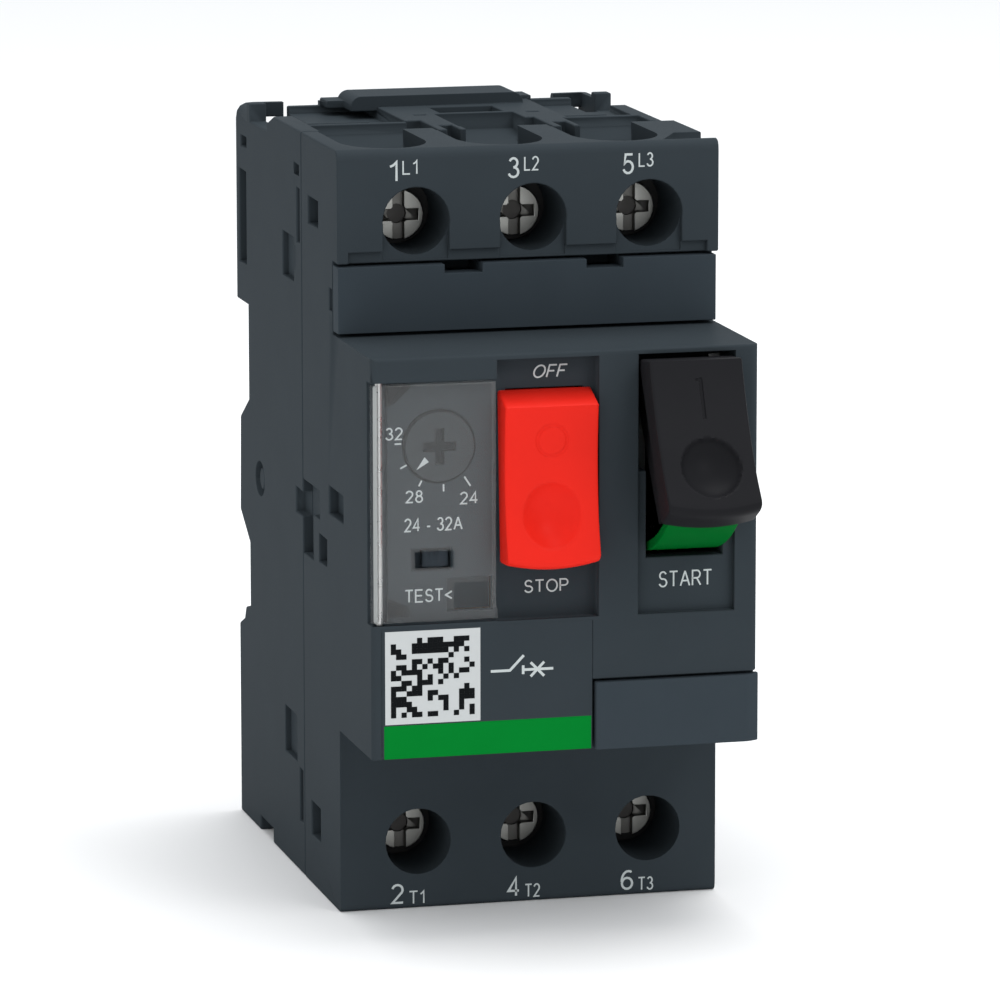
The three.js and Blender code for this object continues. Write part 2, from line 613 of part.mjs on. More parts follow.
// The wide cap, the narrower body behind it and the hub, drawn about the shaft at no tilt.
function pushButton({ face, back }) {
  const hollow = { top: -4, low: -21.1, pull: 1.7 };
  const cap = new THREE.Shape().moveTo(-face, hollow.top);
  cap.quadraticCurveTo(hollow.pull - face, (hollow.top + hollow.low) / 2, -face, hollow.low);
  cap.lineTo(0.5 - face, -22.2).lineTo(1.5 - face, -23).lineTo(-back, -23);
  cap.lineTo(-back, -2.4).lineTo(3.5 - face, -2.4);
  const plan = new THREE.Shape();
  const end = { z: -21.7, bulge: 0.7 };
  const sweep = Math.asin((2 * end.bulge * BUTTON_HALF) / (BUTTON_HALF ** 2 + end.bulge ** 2));
  const radius = BUTTON_HALF / Math.sin(sweep);
  plan.moveTo(-BUTTON_HALF, -1).lineTo(-BUTTON_HALF, end.z);
  plan.absarc(0, end.z - end.bulge + radius, radius, -Math.PI / 2 - sweep, -Math.PI / 2 + sweep, false);
  plan.lineTo(BUTTON_HALF, -1);
  const front = prism("x", cap, about(0, BUTTON_HALF), 8).intersect(prism("y", plan, [-20, 0], 12));
  const body = [
    [-(back + 0.5), -4.6],
    [-3.5, -3.7],
    [-2.5, -2.6],
    [-1, 0],
    [1.1, 0],
    [1.5, -4],
    [-0.5, -20],
    [-(back + 0.5), -19],
  ];
  const dish = { s: 16.7, rim: 3.3, deep: 0.8, floor: face - 0.65 };
  const dishRadius = (dish.rim ** 2 + dish.deep ** 2) / (2 * dish.deep);
  const thumb = ball([0, -(dish.floor + dishRadius - dish.deep), -dish.s], dishRadius);
  const across = about(0, BODY_HALF);
  const whole = join(front, prism("x", body, across), rod("x", [0, 0], 1.45, across, 20));
  return cut(whole, thumb, rod("x", [0, 0], SHAFT.r + GAP, [-6, 6], 16));
}

// The green sheet under the black button, curved about the shaft.
function skirt() {
  const [from, to] = [-21.4, 14.8].map((degrees) => -Math.PI / 2 - THREE.MathUtils.degToRad(degrees));
  const outline = new THREE.Shape();
  outline.absarc(0, 0, SKIRT_R, from, to, true);
  outline.absarc(0, 0, SKIRT_R - 1, to, from, false);
  return prism("x", outline, about(0, BODY_HALF), 14);
}

function placeButtons() {
  const stand = (button) => {
    const pivot = new THREE.Group();
    pivot.position.set(button.x, SHAFT.y, SHAFT.z);
    pivot.rotation.x = -THREE.MathUtils.degToRad(button.tilt);
    device.add(pivot);
    return pivot;
  };
  const start = stand(START);
  addPart("start_button", pushButton(START), "black", start);
  addPart("start_indicator_skirt", skirt(), "green", start);
  addPart("stop_button", pushButton(STOP), "red", stand(STOP));
  const shaft = rod("x", [SHAFT.y, SHAFT.z], SHAFT.r, [STOP_BAY[0] - 0.9, START_BAY[1] + 0.9], 16);
  addPart("button_shaft", shaft, "steel");
}

function settingCover() {
  const plate = block([COVER.x[0] - 0.6, COVER.x[1]], COVER.y, COVER.z);
  const barrel = rod("z", [HINGE.x, HINGE.y], HINGE.r, COVER.z, 20);
  const foot = block([COVER.x[1] - 1, -7.85], COVER.y, [COVER.z[0], 38]);
  const latch = block([-12.6, -8.3], [COVER.y[1] - 0.2, -13], [37.8, 40.8]);
  const window = block(TEST_WINDOW.x, [COVER.y[0] - 1, COVER.y[1] + 1], TEST_WINDOW.z);
  return cut(join(plate, barrel, foot, latch), rod("z", [HINGE.x, HINGE.y], 0.65, [30, 70], 12), window);
}

const hingePin = () => rod("z", [HINGE.x, HINGE.y], 0.38, [35.2, 65.1], 10);

function settingDial() {
  const { x, z, r } = DIAL;
  const disc = rod("y", [x, z], r, [-14.9, -12.7], 36);
  const flange = rod("y", [x, z], r + 0.9, [FRONT_WALL_Y + GAP, -12.1], 24);
  const spindle = rod("y", [x, z], 1.5, [-12.5, -6.5], 16);
  const cam = rod("y", [x + 0.9, z], 2.6, [-8.2, -7], 20);
  const slot = [-15, -14.1];
  const cross = [block(about(x, 1.85), slot, about(z, 0.5)), block(about(x, 0.5), slot, about(z, 2))];
  return cut(join(disc, flange, spindle, cam), ...cross);
}

function testSlider() {
  const slide = block([-18.9, -11.4], [FRONT_WALL_Y + GAP, -11.9], [41.2, 46.2]);
  const [low, high] = TEST.z;
  const crown = new THREE.Shape().moveTo(-15.9, -12.5).lineTo(-15.9, -13.9);
  crown.quadraticCurveTo(-14.4, -14.5, -12.9, -13.9).lineTo(-12.9, -12.5);
  const nub = prism("z", crown, [low + GAP, high - GAP], 6);
  const tail = block([-15, -13.6], [-12.2, -4], [42.6, 45]);
  const bite = rod("y", [-14.6, high + 2.6], 3, [-15, -12.6], 32);
  return cut(join(slide, nub, tail), bite);
}

// ---------------------------------------------------------------- terminals and contacts
function terminalScrew(x, { screwZ, headY }) {
  const head = rod("y", [x, screwZ], HEAD_R, [headY, headY + HEAD_THICK], 28);
  const shank = rod("y", [x, screwZ], SHANK_R, [headY + 1, headY + SHANK_END], 16);
  const slot = [headY - 1, headY + CROSS.deep];
  const across = block(about(x, CROSS.arm), slot, about(screwZ, CROSS.half));
  const upright = block(about(x, CROSS.half), slot, about(screwZ, HEAD_R + 1));
  const hollow = rod("y", [x, screwZ], CROSS.hollow, [headY - 1, headY + CROSS.hollowDeep], 16);
  return cut(join(head, shank), across, upright, hollow);
}

function clampPlate(x, { screwZ, headY }) {
  const span = [headY + CLAMP.front, headY + CLAMP.back];
  const plate = block(about(x, CLAMP.halfX), span, about(screwZ, CLAMP.halfZ));
  return cut(plate, rod("y", [x, screwZ], SHANK_R + GAP, [0, 30], 16));
}

// A conductor runs from the clamp to its fixed contact: a terminal plate, a strip to the back, a leg, a tip.
const FIXED_LEG_Y = [26.4, 27.6];
const LINE_TIP_Z = [57.4, 60.4];
const LOAD_TIP_Z = [29.6, 32.6];

function conductor(x, { screwZ, headY, plate }, stripZ, legZ, tipZ) {
  const front = headY + PLATE.front;
  const terminal = block(about(x, PLATE.halfX), [front, headY + PLATE.back], plate);
  const strip = block(about(x, 2.5), [front, FIXED_LEG_Y[1]], stripZ);
  const leg = block(about(x, 2.5), FIXED_LEG_Y, legZ);
  const tip = block(about(x, 1.8), [FIXED_LEG_Y[1] - 0.2, 28.6], tipZ);
  return cut(join(terminal, strip, leg, tip), rod("y", [x, screwZ], SHANK_R + GAP, [0, 24], 16));
}

function movingContact(x) {
  const bridge = block(about(x, 1.9), [32, 33.2], [29.6, 60.4]);
  const tips = [LINE_TIP_Z, LOAD_TIP_Z].map((z) => block(about(x, 1.6), [31.2, 32.2], z));
  return join(bridge, ...tips);
}

// The moulded bar across the poles, with a cage round each contact bridge and the pin in the lever's fork.
const CARRIER = { y: [19.5, 25], z: [41.6, 48] };

function contactCarrier() {
  const bar = block([-18.9, 18.9], CARRIER.y, CARRIER.z);
  const cages = POLES.map((x) => {
    const outside = block(about(x, 3.4), [24, 39.4], [42.4, 47.6]);
    return cut(outside, block(about(x, 2.3), [30.6, 38.2], [41, 49]));
  });
  const lugs = [5.3, 9.2].map((x) => block(about(x, 0.4), [15.4, 20], [43.6, 46.4]));
  const pin = rod("x", [FORK_PIN.y, FORK_PIN.z], FORK_PIN.r, [5, 9.5], 12);
  return join(bar, ...cages, ...lugs, pin);
}

function contactSpring(x) {
  return helix(1.5, 4.4, 3, 0.3, 4).rotate([-90, 0, 0]).translate([x, 33.5, 45]);
}

function arcChute(x) {
  const cards = [-4.9, 4.2].map((dx) => block([x + dx, x + dx + 0.7], [34.4, 46], [50.6, 66]));
  const levels = [52, 54.6, 57.2, 59.8, 62.4, 65];
  const plates = levels.map((z) => block(about(x, 4.6), [35, 46], about(z, 0.4)));
  return join(plates[0], ...cards, ...plates.slice(1));
}

// ---------------------------------------------------------------- trip unit
// Magnetic coil: a bobbin with two flanges and a grooved winding, turned as one ring.
function tripCoil(x) {
  const [low, high] = COIL.z;
  const profile = [[COIL.bore, low], [COIL.r, low], [COIL.r, low + 0.9], [3.7, low + 0.9]];
  const turns = 4;
  const pitch = (high - low - 1.8) / turns;
  for (let i = 0; i < turns; i++) {
    const z = low + 0.9 + i * pitch;
    profile.push([4.1, z + pitch * 0.3], [4.1, z + pitch * 0.7], [3.7, z + pitch]);
  }
  profile.push([COIL.r, high - 0.9], [COIL.r, high], [COIL.bore, high], [COIL.bore, low]);
  const points = profile.map(([r, z]) => new THREE.Vector2(r, z));
  const lathe = new THREE.LatheGeometry(points, 12);
  return solid(lathe.rotateX(Math.PI / 2)).translate([x, COIL.y, 0]);
}

function coilStriker(x) {
  const stem = rod("z", [x, COIL.y], 1.7, [29, 42.4], 12);
  return join(stem, rod("z", [x, COIL.y], 2.8, [41.2, 42.6], 16));
}

function bimetal(x) {
  const strip = block(about(x, 1.8), [14.6, 15.4], [24, 50]);
  const foot = block(about(x, 2.6), [13.4, 15.8], [23.3, 25.6]);
  const heater = [31, 34, 37, 40].map((z) => block(about(x, 2.3), [14.2, 15.8], [z, z + 1.4]));
  return join(strip, foot, ...heater);
}

// The trip bar: a round bar with a finger over each striker, one in front of each bimetal and one for the
// stop link.
function tripBar() {
  const bar = rod("x", [TRIP.y, TRIP.z], TRIP.r, [-21, 21], 16);
  const fingers = POLES.flatMap((x) => [
    block(about(x, 1.2), [13, 14.1], [47.6, 52]),
    block(about(x, 1.2), [10, 14.1], [51.4, 53]),
    block(about(x, 1.4), [6.6, 8], [44, 54]),
    block(about(x, 1.4), [6.6, 10], [52.6, 54]),
  ]);
  fingers.push(block(STOP_LINK.x, [9.4, 10.6], [53.8, STOP_LINK.z[1] + 0.4]));
  return join(bar, ...fingers);
}

// The links behind the buttons: a cranked one that reaches the lever, and a straight one that reaches the
// trip bar.
function startLink() {
  const [low, high] = START_LINK.z;
  const bar = block(START_LINK.x, [-11.2, 10.6], START_LINK.z);
  const crank = block([LEVER.x - 0.7, START_LINK.x[1]], [9, 10.6], START_LINK.z);
  const nose = block(about(LEVER.x, 0.7), [10.4, 14.6], [low + 0.5, high - 0.5]);
  return join(bar, crank, nose);
}

const stopLink = () => block(STOP_LINK.x, [-8.2, 9.1], STOP_LINK.z);

// The lever, the pin it turns on and its return spring.
function driveLever() {
  const { x, half, y, z, high } = LEVER;
  const arm = block(about(x, half), about(y, 1.2), [46, high]);
  const fork = block(about(x, half), about(y, 2.1), [43.2, 47.2]);
  const slot = block(about(x, 2), about(y, FORK_PIN.r + 0.3), [40, 46.4]);
  const hub = rod("x", [y, z], 1.9, about(x, half), 20);
  return cut(join(arm, fork, hub), slot, rod("x", [y, z], 1.1, [0, 20], 12));
}

const leverPin = () => rod("x", [LEVER.y, LEVER.z], 0.8, [LEVER.ribs[0] - 0.4, LEVER.ribs[1] + 0.4], 12);

function leverSpring() {
  const coil = helix(1.5, 1.7, 2, 0.28, 4).rotate([0, 90, 0]);
  return coil.translate([LEVER.x + LEVER.half + 0.2, LEVER.y, LEVER.z]);
}

// ---------------------------------------------------------------- rail clip
function railClip() {
  const { half, y, z, window } = CLIP;
  const plate = block(about(0, 7.2), y, [z[0], z[1]]);
  const wings = block(about(0, half), y, [z[0] + 3, 24]);
  const nose = [
    [y[0] - 0.1, z[1] + 0.1],
    [y[0] - 0.1, z[1] - 1],
    [y[1] - 0.4, z[1] + 0.1],
  ];
  const body = join(plate, wings);
  const opening = block(about(0, window.half), [40, 60], window.z);
  const tab = block(about(0, 1.6), [40, 60], [2.4, 4.4]);
  return cut(body, opening, tab, prism("x", nose, [-10, 10]));
}

function clipSpring() {
  return helix(1.5, 7.4, 5, 0.32).translate([0, 50.8, CLIP_PEG_Z[1] + GAP]);
}

// ---------------------------------------------------------------- assembly
addPart("rear_base", rearBase(), "housing");
addPart("front_cover", frontCover(), "housing");
addPart("accessory_strip", accessoryStrip(), "strip");
addPart("marker_plate", markerPlate(), "strip");
addPart("rating_label", ratingLabel(), "label");
placeButtons();
addPart("setting_cover", settingCover(), "clear");
addPart("cover_hinge_pin", hingePin(), "steel");
addPart("setting_dial", settingDial(), "dial");
addPart("test_slider", testSlider(), "grey");
POLES.forEach((x, i) => {
  const pole = i + 1;
  for (const row of [LINE, LOAD]) {
    addPart(`terminal_screw_${row.marks[i]}`, terminalScrew(x, row), "steel");
    addPart(`clamp_plate_${row.marks[i]}`, clampPlate(x, row), "steel");
  }
  addPart(`line_conductor_${pole}`, conductor(x, LINE, [73, 74.2], [57, 74.2], LINE_TIP_Z), "copper");
  addPart(`load_conductor_${pole}`, conductor(x, LOAD, [12.8, 14], [12.8, 33], LOAD_TIP_Z), "copper");
  addPart(`moving_contact_${pole}`, movingContact(x), "copper");
  addPart(`contact_spring_${pole}`, contactSpring(x), "spring");
  addPart(`arc_chute_${pole}`, arcChute(x), "steel");
  addPart(`trip_coil_${pole}`, tripCoil(x), "copper");
  addPart(`coil_striker_${pole}`, coilStriker(x), "steel");
  addPart(`bimetal_${pole}`, bimetal(x), "brass");
});
addPart("contact_carrier", contactCarrier(), "inner");
addPart("trip_bar", tripBar(), "grey");
addPart("drive_lever", driveLever(), "grey");
addPart("start_link", startLink(), "grey");
addPart("stop_link", stopLink(), "grey");
addPart("lever_pin", leverPin(), "steel");
addPart("lever_spring", leverSpring(), "spring");
addPart("rail_clip", railClip(), "inner");
addPart("clip_spring", clipSpring(), "spring");

export default device;
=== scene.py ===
"""Looks of the three-pole push-button motor protection breaker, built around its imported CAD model."""

import json
import math

import bmesh
import bpy
import numpy as np
from mathutils import Matrix, Vector

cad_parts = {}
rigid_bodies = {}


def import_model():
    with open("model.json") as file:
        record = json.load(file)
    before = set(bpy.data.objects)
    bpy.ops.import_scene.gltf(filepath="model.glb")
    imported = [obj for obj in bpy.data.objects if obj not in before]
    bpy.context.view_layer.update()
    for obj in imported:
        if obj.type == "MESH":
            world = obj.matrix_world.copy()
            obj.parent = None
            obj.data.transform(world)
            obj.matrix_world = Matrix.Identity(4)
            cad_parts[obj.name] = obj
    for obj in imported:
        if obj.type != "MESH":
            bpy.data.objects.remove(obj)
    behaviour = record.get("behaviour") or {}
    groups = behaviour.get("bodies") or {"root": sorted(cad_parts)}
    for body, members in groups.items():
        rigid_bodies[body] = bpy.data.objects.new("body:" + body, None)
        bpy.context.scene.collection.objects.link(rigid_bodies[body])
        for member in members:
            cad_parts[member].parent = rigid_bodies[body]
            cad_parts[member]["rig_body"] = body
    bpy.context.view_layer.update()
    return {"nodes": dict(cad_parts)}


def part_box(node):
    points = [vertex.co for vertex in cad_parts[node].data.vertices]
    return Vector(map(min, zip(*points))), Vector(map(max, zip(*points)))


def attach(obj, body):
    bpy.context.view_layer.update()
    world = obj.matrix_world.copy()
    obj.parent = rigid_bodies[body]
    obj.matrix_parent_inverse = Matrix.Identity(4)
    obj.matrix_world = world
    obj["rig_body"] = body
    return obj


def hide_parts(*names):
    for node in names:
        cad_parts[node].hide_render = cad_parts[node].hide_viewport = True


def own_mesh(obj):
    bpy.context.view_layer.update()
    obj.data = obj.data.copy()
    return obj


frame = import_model()

MM = 0.001
SEAT_Y = 48.5  # the drawing's Y of the rail seat, which is the frame's origin
RAIL_Z = 45.0  # the drawing's Z of the rail's middle


def at(x, y, z):
    """A point of the drawing in the frame. The drawing is in mm, from the terminals' front and the bottom."""
    return Vector((x, y - SEAT_Y, z - RAIL_Z)) * MM


# ---------------------------------------------------------------- camera, lights and floor
CAMERA = {
    "azimuth": -14.255,
    "elevation": 10.254,
    "roll": -0.05,
    "at": (-183.1, -707.2, 179.1),  # a point of the drawing
    "lens": 234.8,
}
SENSOR = 36  # mm
NEAREST, FARTHEST = 0.05, 20  # metres that the camera sees between
WHITE = (1, 1, 1)
LIGHTS = [  # name, place from the middle of the device, size, watts and colour
    ("top", (0.1, 0.1, 1.0), (0.7, 0.6), 6, WHITE),
    ("left", (-1.0, -0.3, 0.3), (0.6, 0.9), 0.7, (1.0, 0.93, 0.84)),
    ("front", (0.5, -0.9, 0.85), (0.4, 0.4), 3.2, WHITE),
]
SKY, SKY_STRENGTH = (0.95, 0.975, 1.0, 1), 0.9
FLOOR_SIZE, FLOOR_Y = 6, 0.8  # metres
FLOOR_COLOUR = (0.9, 0.9, 0.9)


def add_camera():
    data = bpy.data.cameras.new("camera")
    data.lens = CAMERA["lens"]
    data.sensor_width = SENSOR
    data.clip_start = NEAREST
    data.clip_end = FARTHEST
    camera = bpy.data.objects.new("camera", data)
    bpy.context.scene.collection.objects.link(camera)
    turn = Matrix.Rotation(math.radians(CAMERA["azimuth"]), 4, "Z")
    lift = Matrix.Rotation(math.radians(90 - CAMERA["elevation"]), 4, "X")
    roll = Matrix.Rotation(math.radians(CAMERA["roll"]), 4, "Z")
    camera.matrix_world = Matrix.Translation(at(*CAMERA["at"])) @ turn @ lift @ roll
    bpy.context.scene.camera = camera


def add_light(name, place, size, watts, colour):
    """An area light at a place in metres from the middle of the device, turned to face it."""
    data = bpy.data.lights.new(name, "AREA")
    data.shape = "RECTANGLE"
    data.size, data.size_y = size
    data.energy = watts
    data.color = colour
    light = bpy.data.objects.new(name, data)
    bpy.context.scene.collection.objects.link(light)
    middle = at(0, 15, 44)
    light.location = middle + Vector(place)
    light.rotation_euler = (-Vector(place)).to_track_quat("-Z", "Y").to_euler()


def add_studio():
    world = bpy.data.worlds.new("studio")
    bpy.context.scene.world = world
    world.use_nodes = True
    background = world.node_tree.nodes["Background"]
    background.inputs["Color"].default_value = SKY
    background.inputs["Strength"].default_value = SKY_STRENGTH
    for light in LIGHTS:
        add_light(*light)
    bpy.context.scene.view_settings.view_transform = "Standard"
    bpy.ops.mesh.primitive_plane_add(size=FLOOR_SIZE, location=(0, FLOOR_Y, at(0, 0, 0).z))
    floor = bpy.context.object
    floor.name = "floor"
    floor.data.materials.append(paper("floor_paper", FLOOR_COLOUR))


# ---------------------------------------------------------------- materials
NOISE_LOW, NOISE_HIGH = 0.3, 0.7  # nearly all of a noise's output lies between these
TARNISH, PATCHY = 0.72, 0.06  # how dark a metal's dull patches are, and how far its roughness varies


def new_material(name):
    material = bpy.data.materials.new(name)
    material.use_nodes = True
    nodes = material.node_tree.nodes
    return material, nodes, material.node_tree.links, nodes["Principled BSDF"]


def add_noise(nodes, links, where, scale, detail=3.0):
    noise = nodes.new("ShaderNodeTexNoise")
    noise.inputs["Scale"].default_value = scale
    noise.inputs["Detail"].default_value = detail
    links.new(where.outputs["Object"], noise.inputs["Vector"])
    return noise


def spread(nodes, links, source, low, high):
    """Maps a noise's output to the range low..high."""
    ranged = nodes.new("ShaderNodeMapRange")
    ranged.inputs["From Min"].default_value = NOISE_LOW
    ranged.inputs["From Max"].default_value = NOISE_HIGH
    ranged.inputs["To Min"].default_value = low
    ranged.inputs["To Max"].default_value = high
    links.new(source, ranged.inputs["Value"])
    return ranged.outputs["Result"]


def blend_colours(nodes, links, factor, a, b):
    mix = nodes.new("ShaderNodeMix")
    mix.data_type = "RGBA"
    mix.inputs["A"].default_value = (*a, 1)
    mix.inputs["B"].default_value = (*b, 1)
    links.new(factor, mix.inputs["Factor"])
    return mix.outputs["Result"]


def add_relief(nodes, links, shader, height, strength, depth_mm):
    bump = nodes.new("ShaderNodeBump")
    bump.inputs["Strength"].default_value = strength
    bump.inputs["Distance"].default_value = depth_mm * MM
    links.new(height, bump.inputs["Height"])
    links.new(bump.outputs["Normal"], shader.inputs["Normal"])


def paper(name, colour):
    material, nodes, links, shader = new_material(name)
    where = nodes.new("ShaderNodeTexCoord")
    cloud = add_noise(nodes, links, where, 3)
    light = [min(1, c * 1.02) for c in colour]
    links.new(blend_colours(nodes, links, cloud.outputs["Fac"], colour, light), shader.inputs["Base Color"])
    shader.inputs["Roughness"].default_value = 0.9
    return material


def moulded(name, colour, roughness, grain=9000.0, depth=0.004, mottle=0.06, specular=0.22):
    """Moulded plastic: a fine eroded grain in the relief, a faint cloudiness in colour and gloss."""
    material, nodes, links, shader = new_material(name)
    where = nodes.new("ShaderNodeTexCoord")
    cloud = add_noise(nodes, links, where, 160)
    fine = add_noise(nodes, links, where, grain, 2)
    dark = [c * (1 - mottle) for c in colour]
    light = [min(1, c * (1 + mottle)) for c in colour]
    links.new(blend_colours(nodes, links, cloud.outputs["Fac"], dark, light), shader.inputs["Base Color"])
    gloss = spread(nodes, links, fine.outputs["Fac"], roughness - 0.04, roughness + 0.05)
    links.new(gloss, shader.inputs["Roughness"])
    add_relief(nodes, links, shader, fine.outputs["Fac"], 0.5, depth)
    shader.inputs["Specular IOR Level"].default_value = specular
    return material


def metal(name, colour, roughness):
    """Plated or drawn metal with fine tool marks and a little tarnish."""
    material, nodes, links, shader = new_material(name)
    where = nodes.new("ShaderNodeTexCoord")
    cloud = add_noise(nodes, links, where, 700)
    fine = add_noise(nodes, links, where, 6000, 2)
    tarnish = [c * TARNISH for c in colour]
    links.new(blend_colours(nodes, links, cloud.outputs["Fac"], tarnish, colour), shader.inputs["Base Color"])
    gloss = spread(nodes, links, cloud.outputs["Fac"], roughness - PATCHY, roughness + PATCHY)
    links.new(gloss, shader.inputs["Roughness"])
    add_relief(nodes, links, shader, fine.outputs["Fac"], 0.4, 0.003)
    shader.inputs["Metallic"].default_value = 1.0
    return material


def clear_plastic(name, colour, cover, roughness, specular=0.5):
    """Clear moulding seen as a thin grey veil: cover is the share of light that each of its faces stops."""
    material, nodes, links, shader = new_material(name)
    where = nodes.new("ShaderNodeTexCoord")
    cloud = add_noise(nodes, links, where, 220)
    dark = [c * 0.96 for c in colour]
    links.new(blend_colours(nodes, links, cloud.outputs["Fac"], dark, colour), shader.inputs["Base Color"])
    gloss = spread(nodes, links, cloud.outputs["Fac"], roughness, roughness + 0.04)
    links.new(gloss, shader.inputs["Roughness"])
    shader.inputs["Specular IOR Level"].default_value = specular
    shader.inputs["Alpha"].default_value = cover
    return material


HOUSING = moulded("housing_plastic", (0.034, 0.0425, 0.049), 0.5, specular=0.005)
STRIP = moulded("strip_plastic", (0.037, 0.0475, 0.0565), 0.5, specular=0.005)
LABEL = moulded("label_film", (0.033, 0.0415, 0.048), 0.5, grain=3000, depth=0.001, specular=0.02)
BLACK = moulded("black_button_plastic", (0.0135, 0.0135, 0.0152), 0.4, depth=0.0012, specular=0.03)
GREEN = moulded("green_plastic", (0.0, 0.115, 0.016), 0.45, depth=0.0012, specular=0.03)
RED = moulded("red_button_plastic", (0.74, 0.020, 0.0115), 0.42, depth=0.0012, specular=0.06)
DIAL = moulded("dial_plastic", (0.034, 0.040, 0.044), 0.42, specular=0.05)
SLIDER = moulded("slider_plastic", (0.032, 0.040, 0.048), 0.45, specular=0.02)
GREY = moulded("grey_plastic", (0.26, 0.28, 0.29), 0.5)
INNER = moulded("inner_plastic", (0.03, 0.034, 0.038), 0.5, specular=0.05)
MARK = moulded("white_marking", (0.50, 0.54, 0.54), 0.55, depth=0.001, mottle=0.02, specular=0.05)
PANEL = moulded("label_panel", (0.52, 0.54, 0.54), 0.5, grain=3000, depth=0.001, mottle=0.01, specular=0.05)
LABEL_GREEN = moulded("label_green", (0.0, 0.185, 0.022), 0.5, grain=3000, depth=0.001, specular=0.03)
INK = moulded("label_ink", (0.006, 0.007, 0.008), 0.5, grain=3000, depth=0.001, specular=0.03)
SCREW = metal("terminal_steel", (0.50, 0.50, 0.47), 0.4)
# Painted shade: darker steel in the screw heads' cross recess, and darker still in its deep hollow, standing
# in for the shade inside them
SCREW_RECESS_SHADE = metal("terminal_recess_painted_shade", (0.27, 0.265, 0.25), 0.5)
SCREW_HOLLOW_SHADE = metal("terminal_hollow_painted_shade", (0.13, 0.125, 0.12), 0.55)
# Painted shade: a near-black plastic inside the recess in the dial's front, for the shade in it
DIAL_RECESS_SHADE = moulded("dial_recess_painted_shade", (0.012, 0.014, 0.016), 0.5, specular=0.02)
# Painted shade: the clamp plates behind the screw heads get a near-black steel for the shade deep in the
# terminal wells
CLAMP_SHADE = metal("clamp_painted_shade", (0.045, 0.045, 0.045), 0.5)
STEEL = metal("plated_steel", (0.6, 0.6, 0.59), 0.3)
SPRING = metal("spring_steel", (0.5, 0.5, 0.5), 0.25)
COPPER = metal("copper", (0.78, 0.38, 0.22), 0.35)
BRASS = metal("bimetal_alloy", (0.72, 0.56, 0.3), 0.35)
CLEAR = clear_plastic("clear_plastic", (0.50, 0.51, 0.51), 0.07, 0.1, 0.3)
LATCH = clear_plastic("clear_latch", (0.16, 0.16, 0.16), 0.02, 0.1, 0.05)
# Painted highlight: a light, nearly opaque strip on the hinge barrel where the clear moulding shines
BARREL_HIGHLIGHT = clear_plastic("painted_barrel_highlight", (0.37, 0.385, 0.38), 0.88, 0.3, 0.1)
# Painted highlight: faint light strips along the cover's right and top rims
RIM_HIGHLIGHT = clear_plastic("painted_rim_highlight", (0.42, 0.43, 0.43), 0.1, 0.15)
GUSSET = clear_plastic("clear_gusset", (0.05, 0.048, 0.045), 0.25, 0.3, 0.1)


# ---------------------------------------------------------------- pieces
SAME_POINT = 0.0005  # mm


def body_of(node):
    return frame["nodes"][node]["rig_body"]


def place(piece, node, material, stands_in=False):
    """Gives a piece its material, and the body of the CAD node it belongs to."""
    piece.data.materials.clear()
    piece.data.materials.append(material)
    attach(piece, body_of(node))
    if stands_in:
        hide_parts(node)
    return piece


def new_piece(name, points, faces, smooth=True):
    mesh = bpy.data.meshes.new(name)
    mesh.from_pydata([tuple(p) for p in points], [], faces)
    mesh.validate()
    bm = bmesh.new()
    bm.from_mesh(mesh)
    bmesh.ops.remove_doubles(bm, verts=bm.verts, dist=SAME_POINT * MM)
    bmesh.ops.recalc_face_normals(bm, faces=bm.faces)
    bm.to_mesh(mesh)
    bm.free()
    for face in mesh.polygons:
        face.use_smooth = smooth
    piece = bpy.data.objects.new(name, mesh)
    bpy.context.scene.collection.objects.link(piece)
    return piece


# ---------------------------------------------------------------- eased copies of CAD nodes
RECESS_LIP, RECESS_END = 0.12, 1.57  # mm behind a piece's front where its recess starts and ends
CREASE = 32.0  # degrees between faces from which an outside edge is bevelled
SHARP = 50.0  # degrees between faces that stay a hard edge in the shading
SEGMENTS = 2  # of each bevel
LEAST_BEVEL = 0.02  # mm, below which an edge is left as it is
CAD_POINT, FLAT = 0.002, 0.5  # mm between points, and degrees between faces, that the CAD copy merges
NORMAL_WEIGHT = 50
RUN = math.radians(60)  # an outline that turns less than this counts as one run
ONE_LINE = math.radians(50)  # edges that meet at less than this run on in one line
SHARE = 0.42  # how much of the free room beside an edge its bevel may take


def gap_to_segments(point, starts, ends):
    """Distances from a point to segments, as an array."""
    along = ends - starts
    length = np.maximum((along * along).sum(1), 1e-18)
    t = np.clip(((point - starts) * along).sum(1) / length, 0, 1)
    return np.linalg.norm(point - (starts + along * t[:, None]), axis=1)


def room_beside(points, turns, i):
    """How far edge i of a face's outline is from the rest of that outline, apart from its own smooth run."""
    count = len(points)
    run = {i}
    for step in (1, -1):
        total, j = 0.0, i
        while len(run) < count:
            total += turns[(j + 1) % count if step == 1 else j]
            if total > RUN:
                break
            j = (j + step) % count
            run.add(j)
    others = [k for k in range(count) if k not in run]
    if not others:
        return math.inf
    a, b = points[i], points[(i + 1) % count]
    ends_in_run = run | {(k + 1) % count for k in run}
    loose = [k for k in range(count) if k not in ends_in_run]
    room = math.inf
    if loose:
        spots = points[loose]
        along = b - a
        t = np.clip(((spots - a) @ along) / max(along @ along, 1e-18), 0, 1)
        room = np.linalg.norm(spots - (a + t[:, None] * along), axis=1).min()
    for p, q in ((a, (i - 1) % count), (b, (i + 1) % count)):
        far = [k for k in others if k != q]
        if far:
            starts = points[far]
            ends = points[[(k + 1) % count for k in far]]
            room = min(room, gap_to_segments(p, starts, ends).min())
    return room


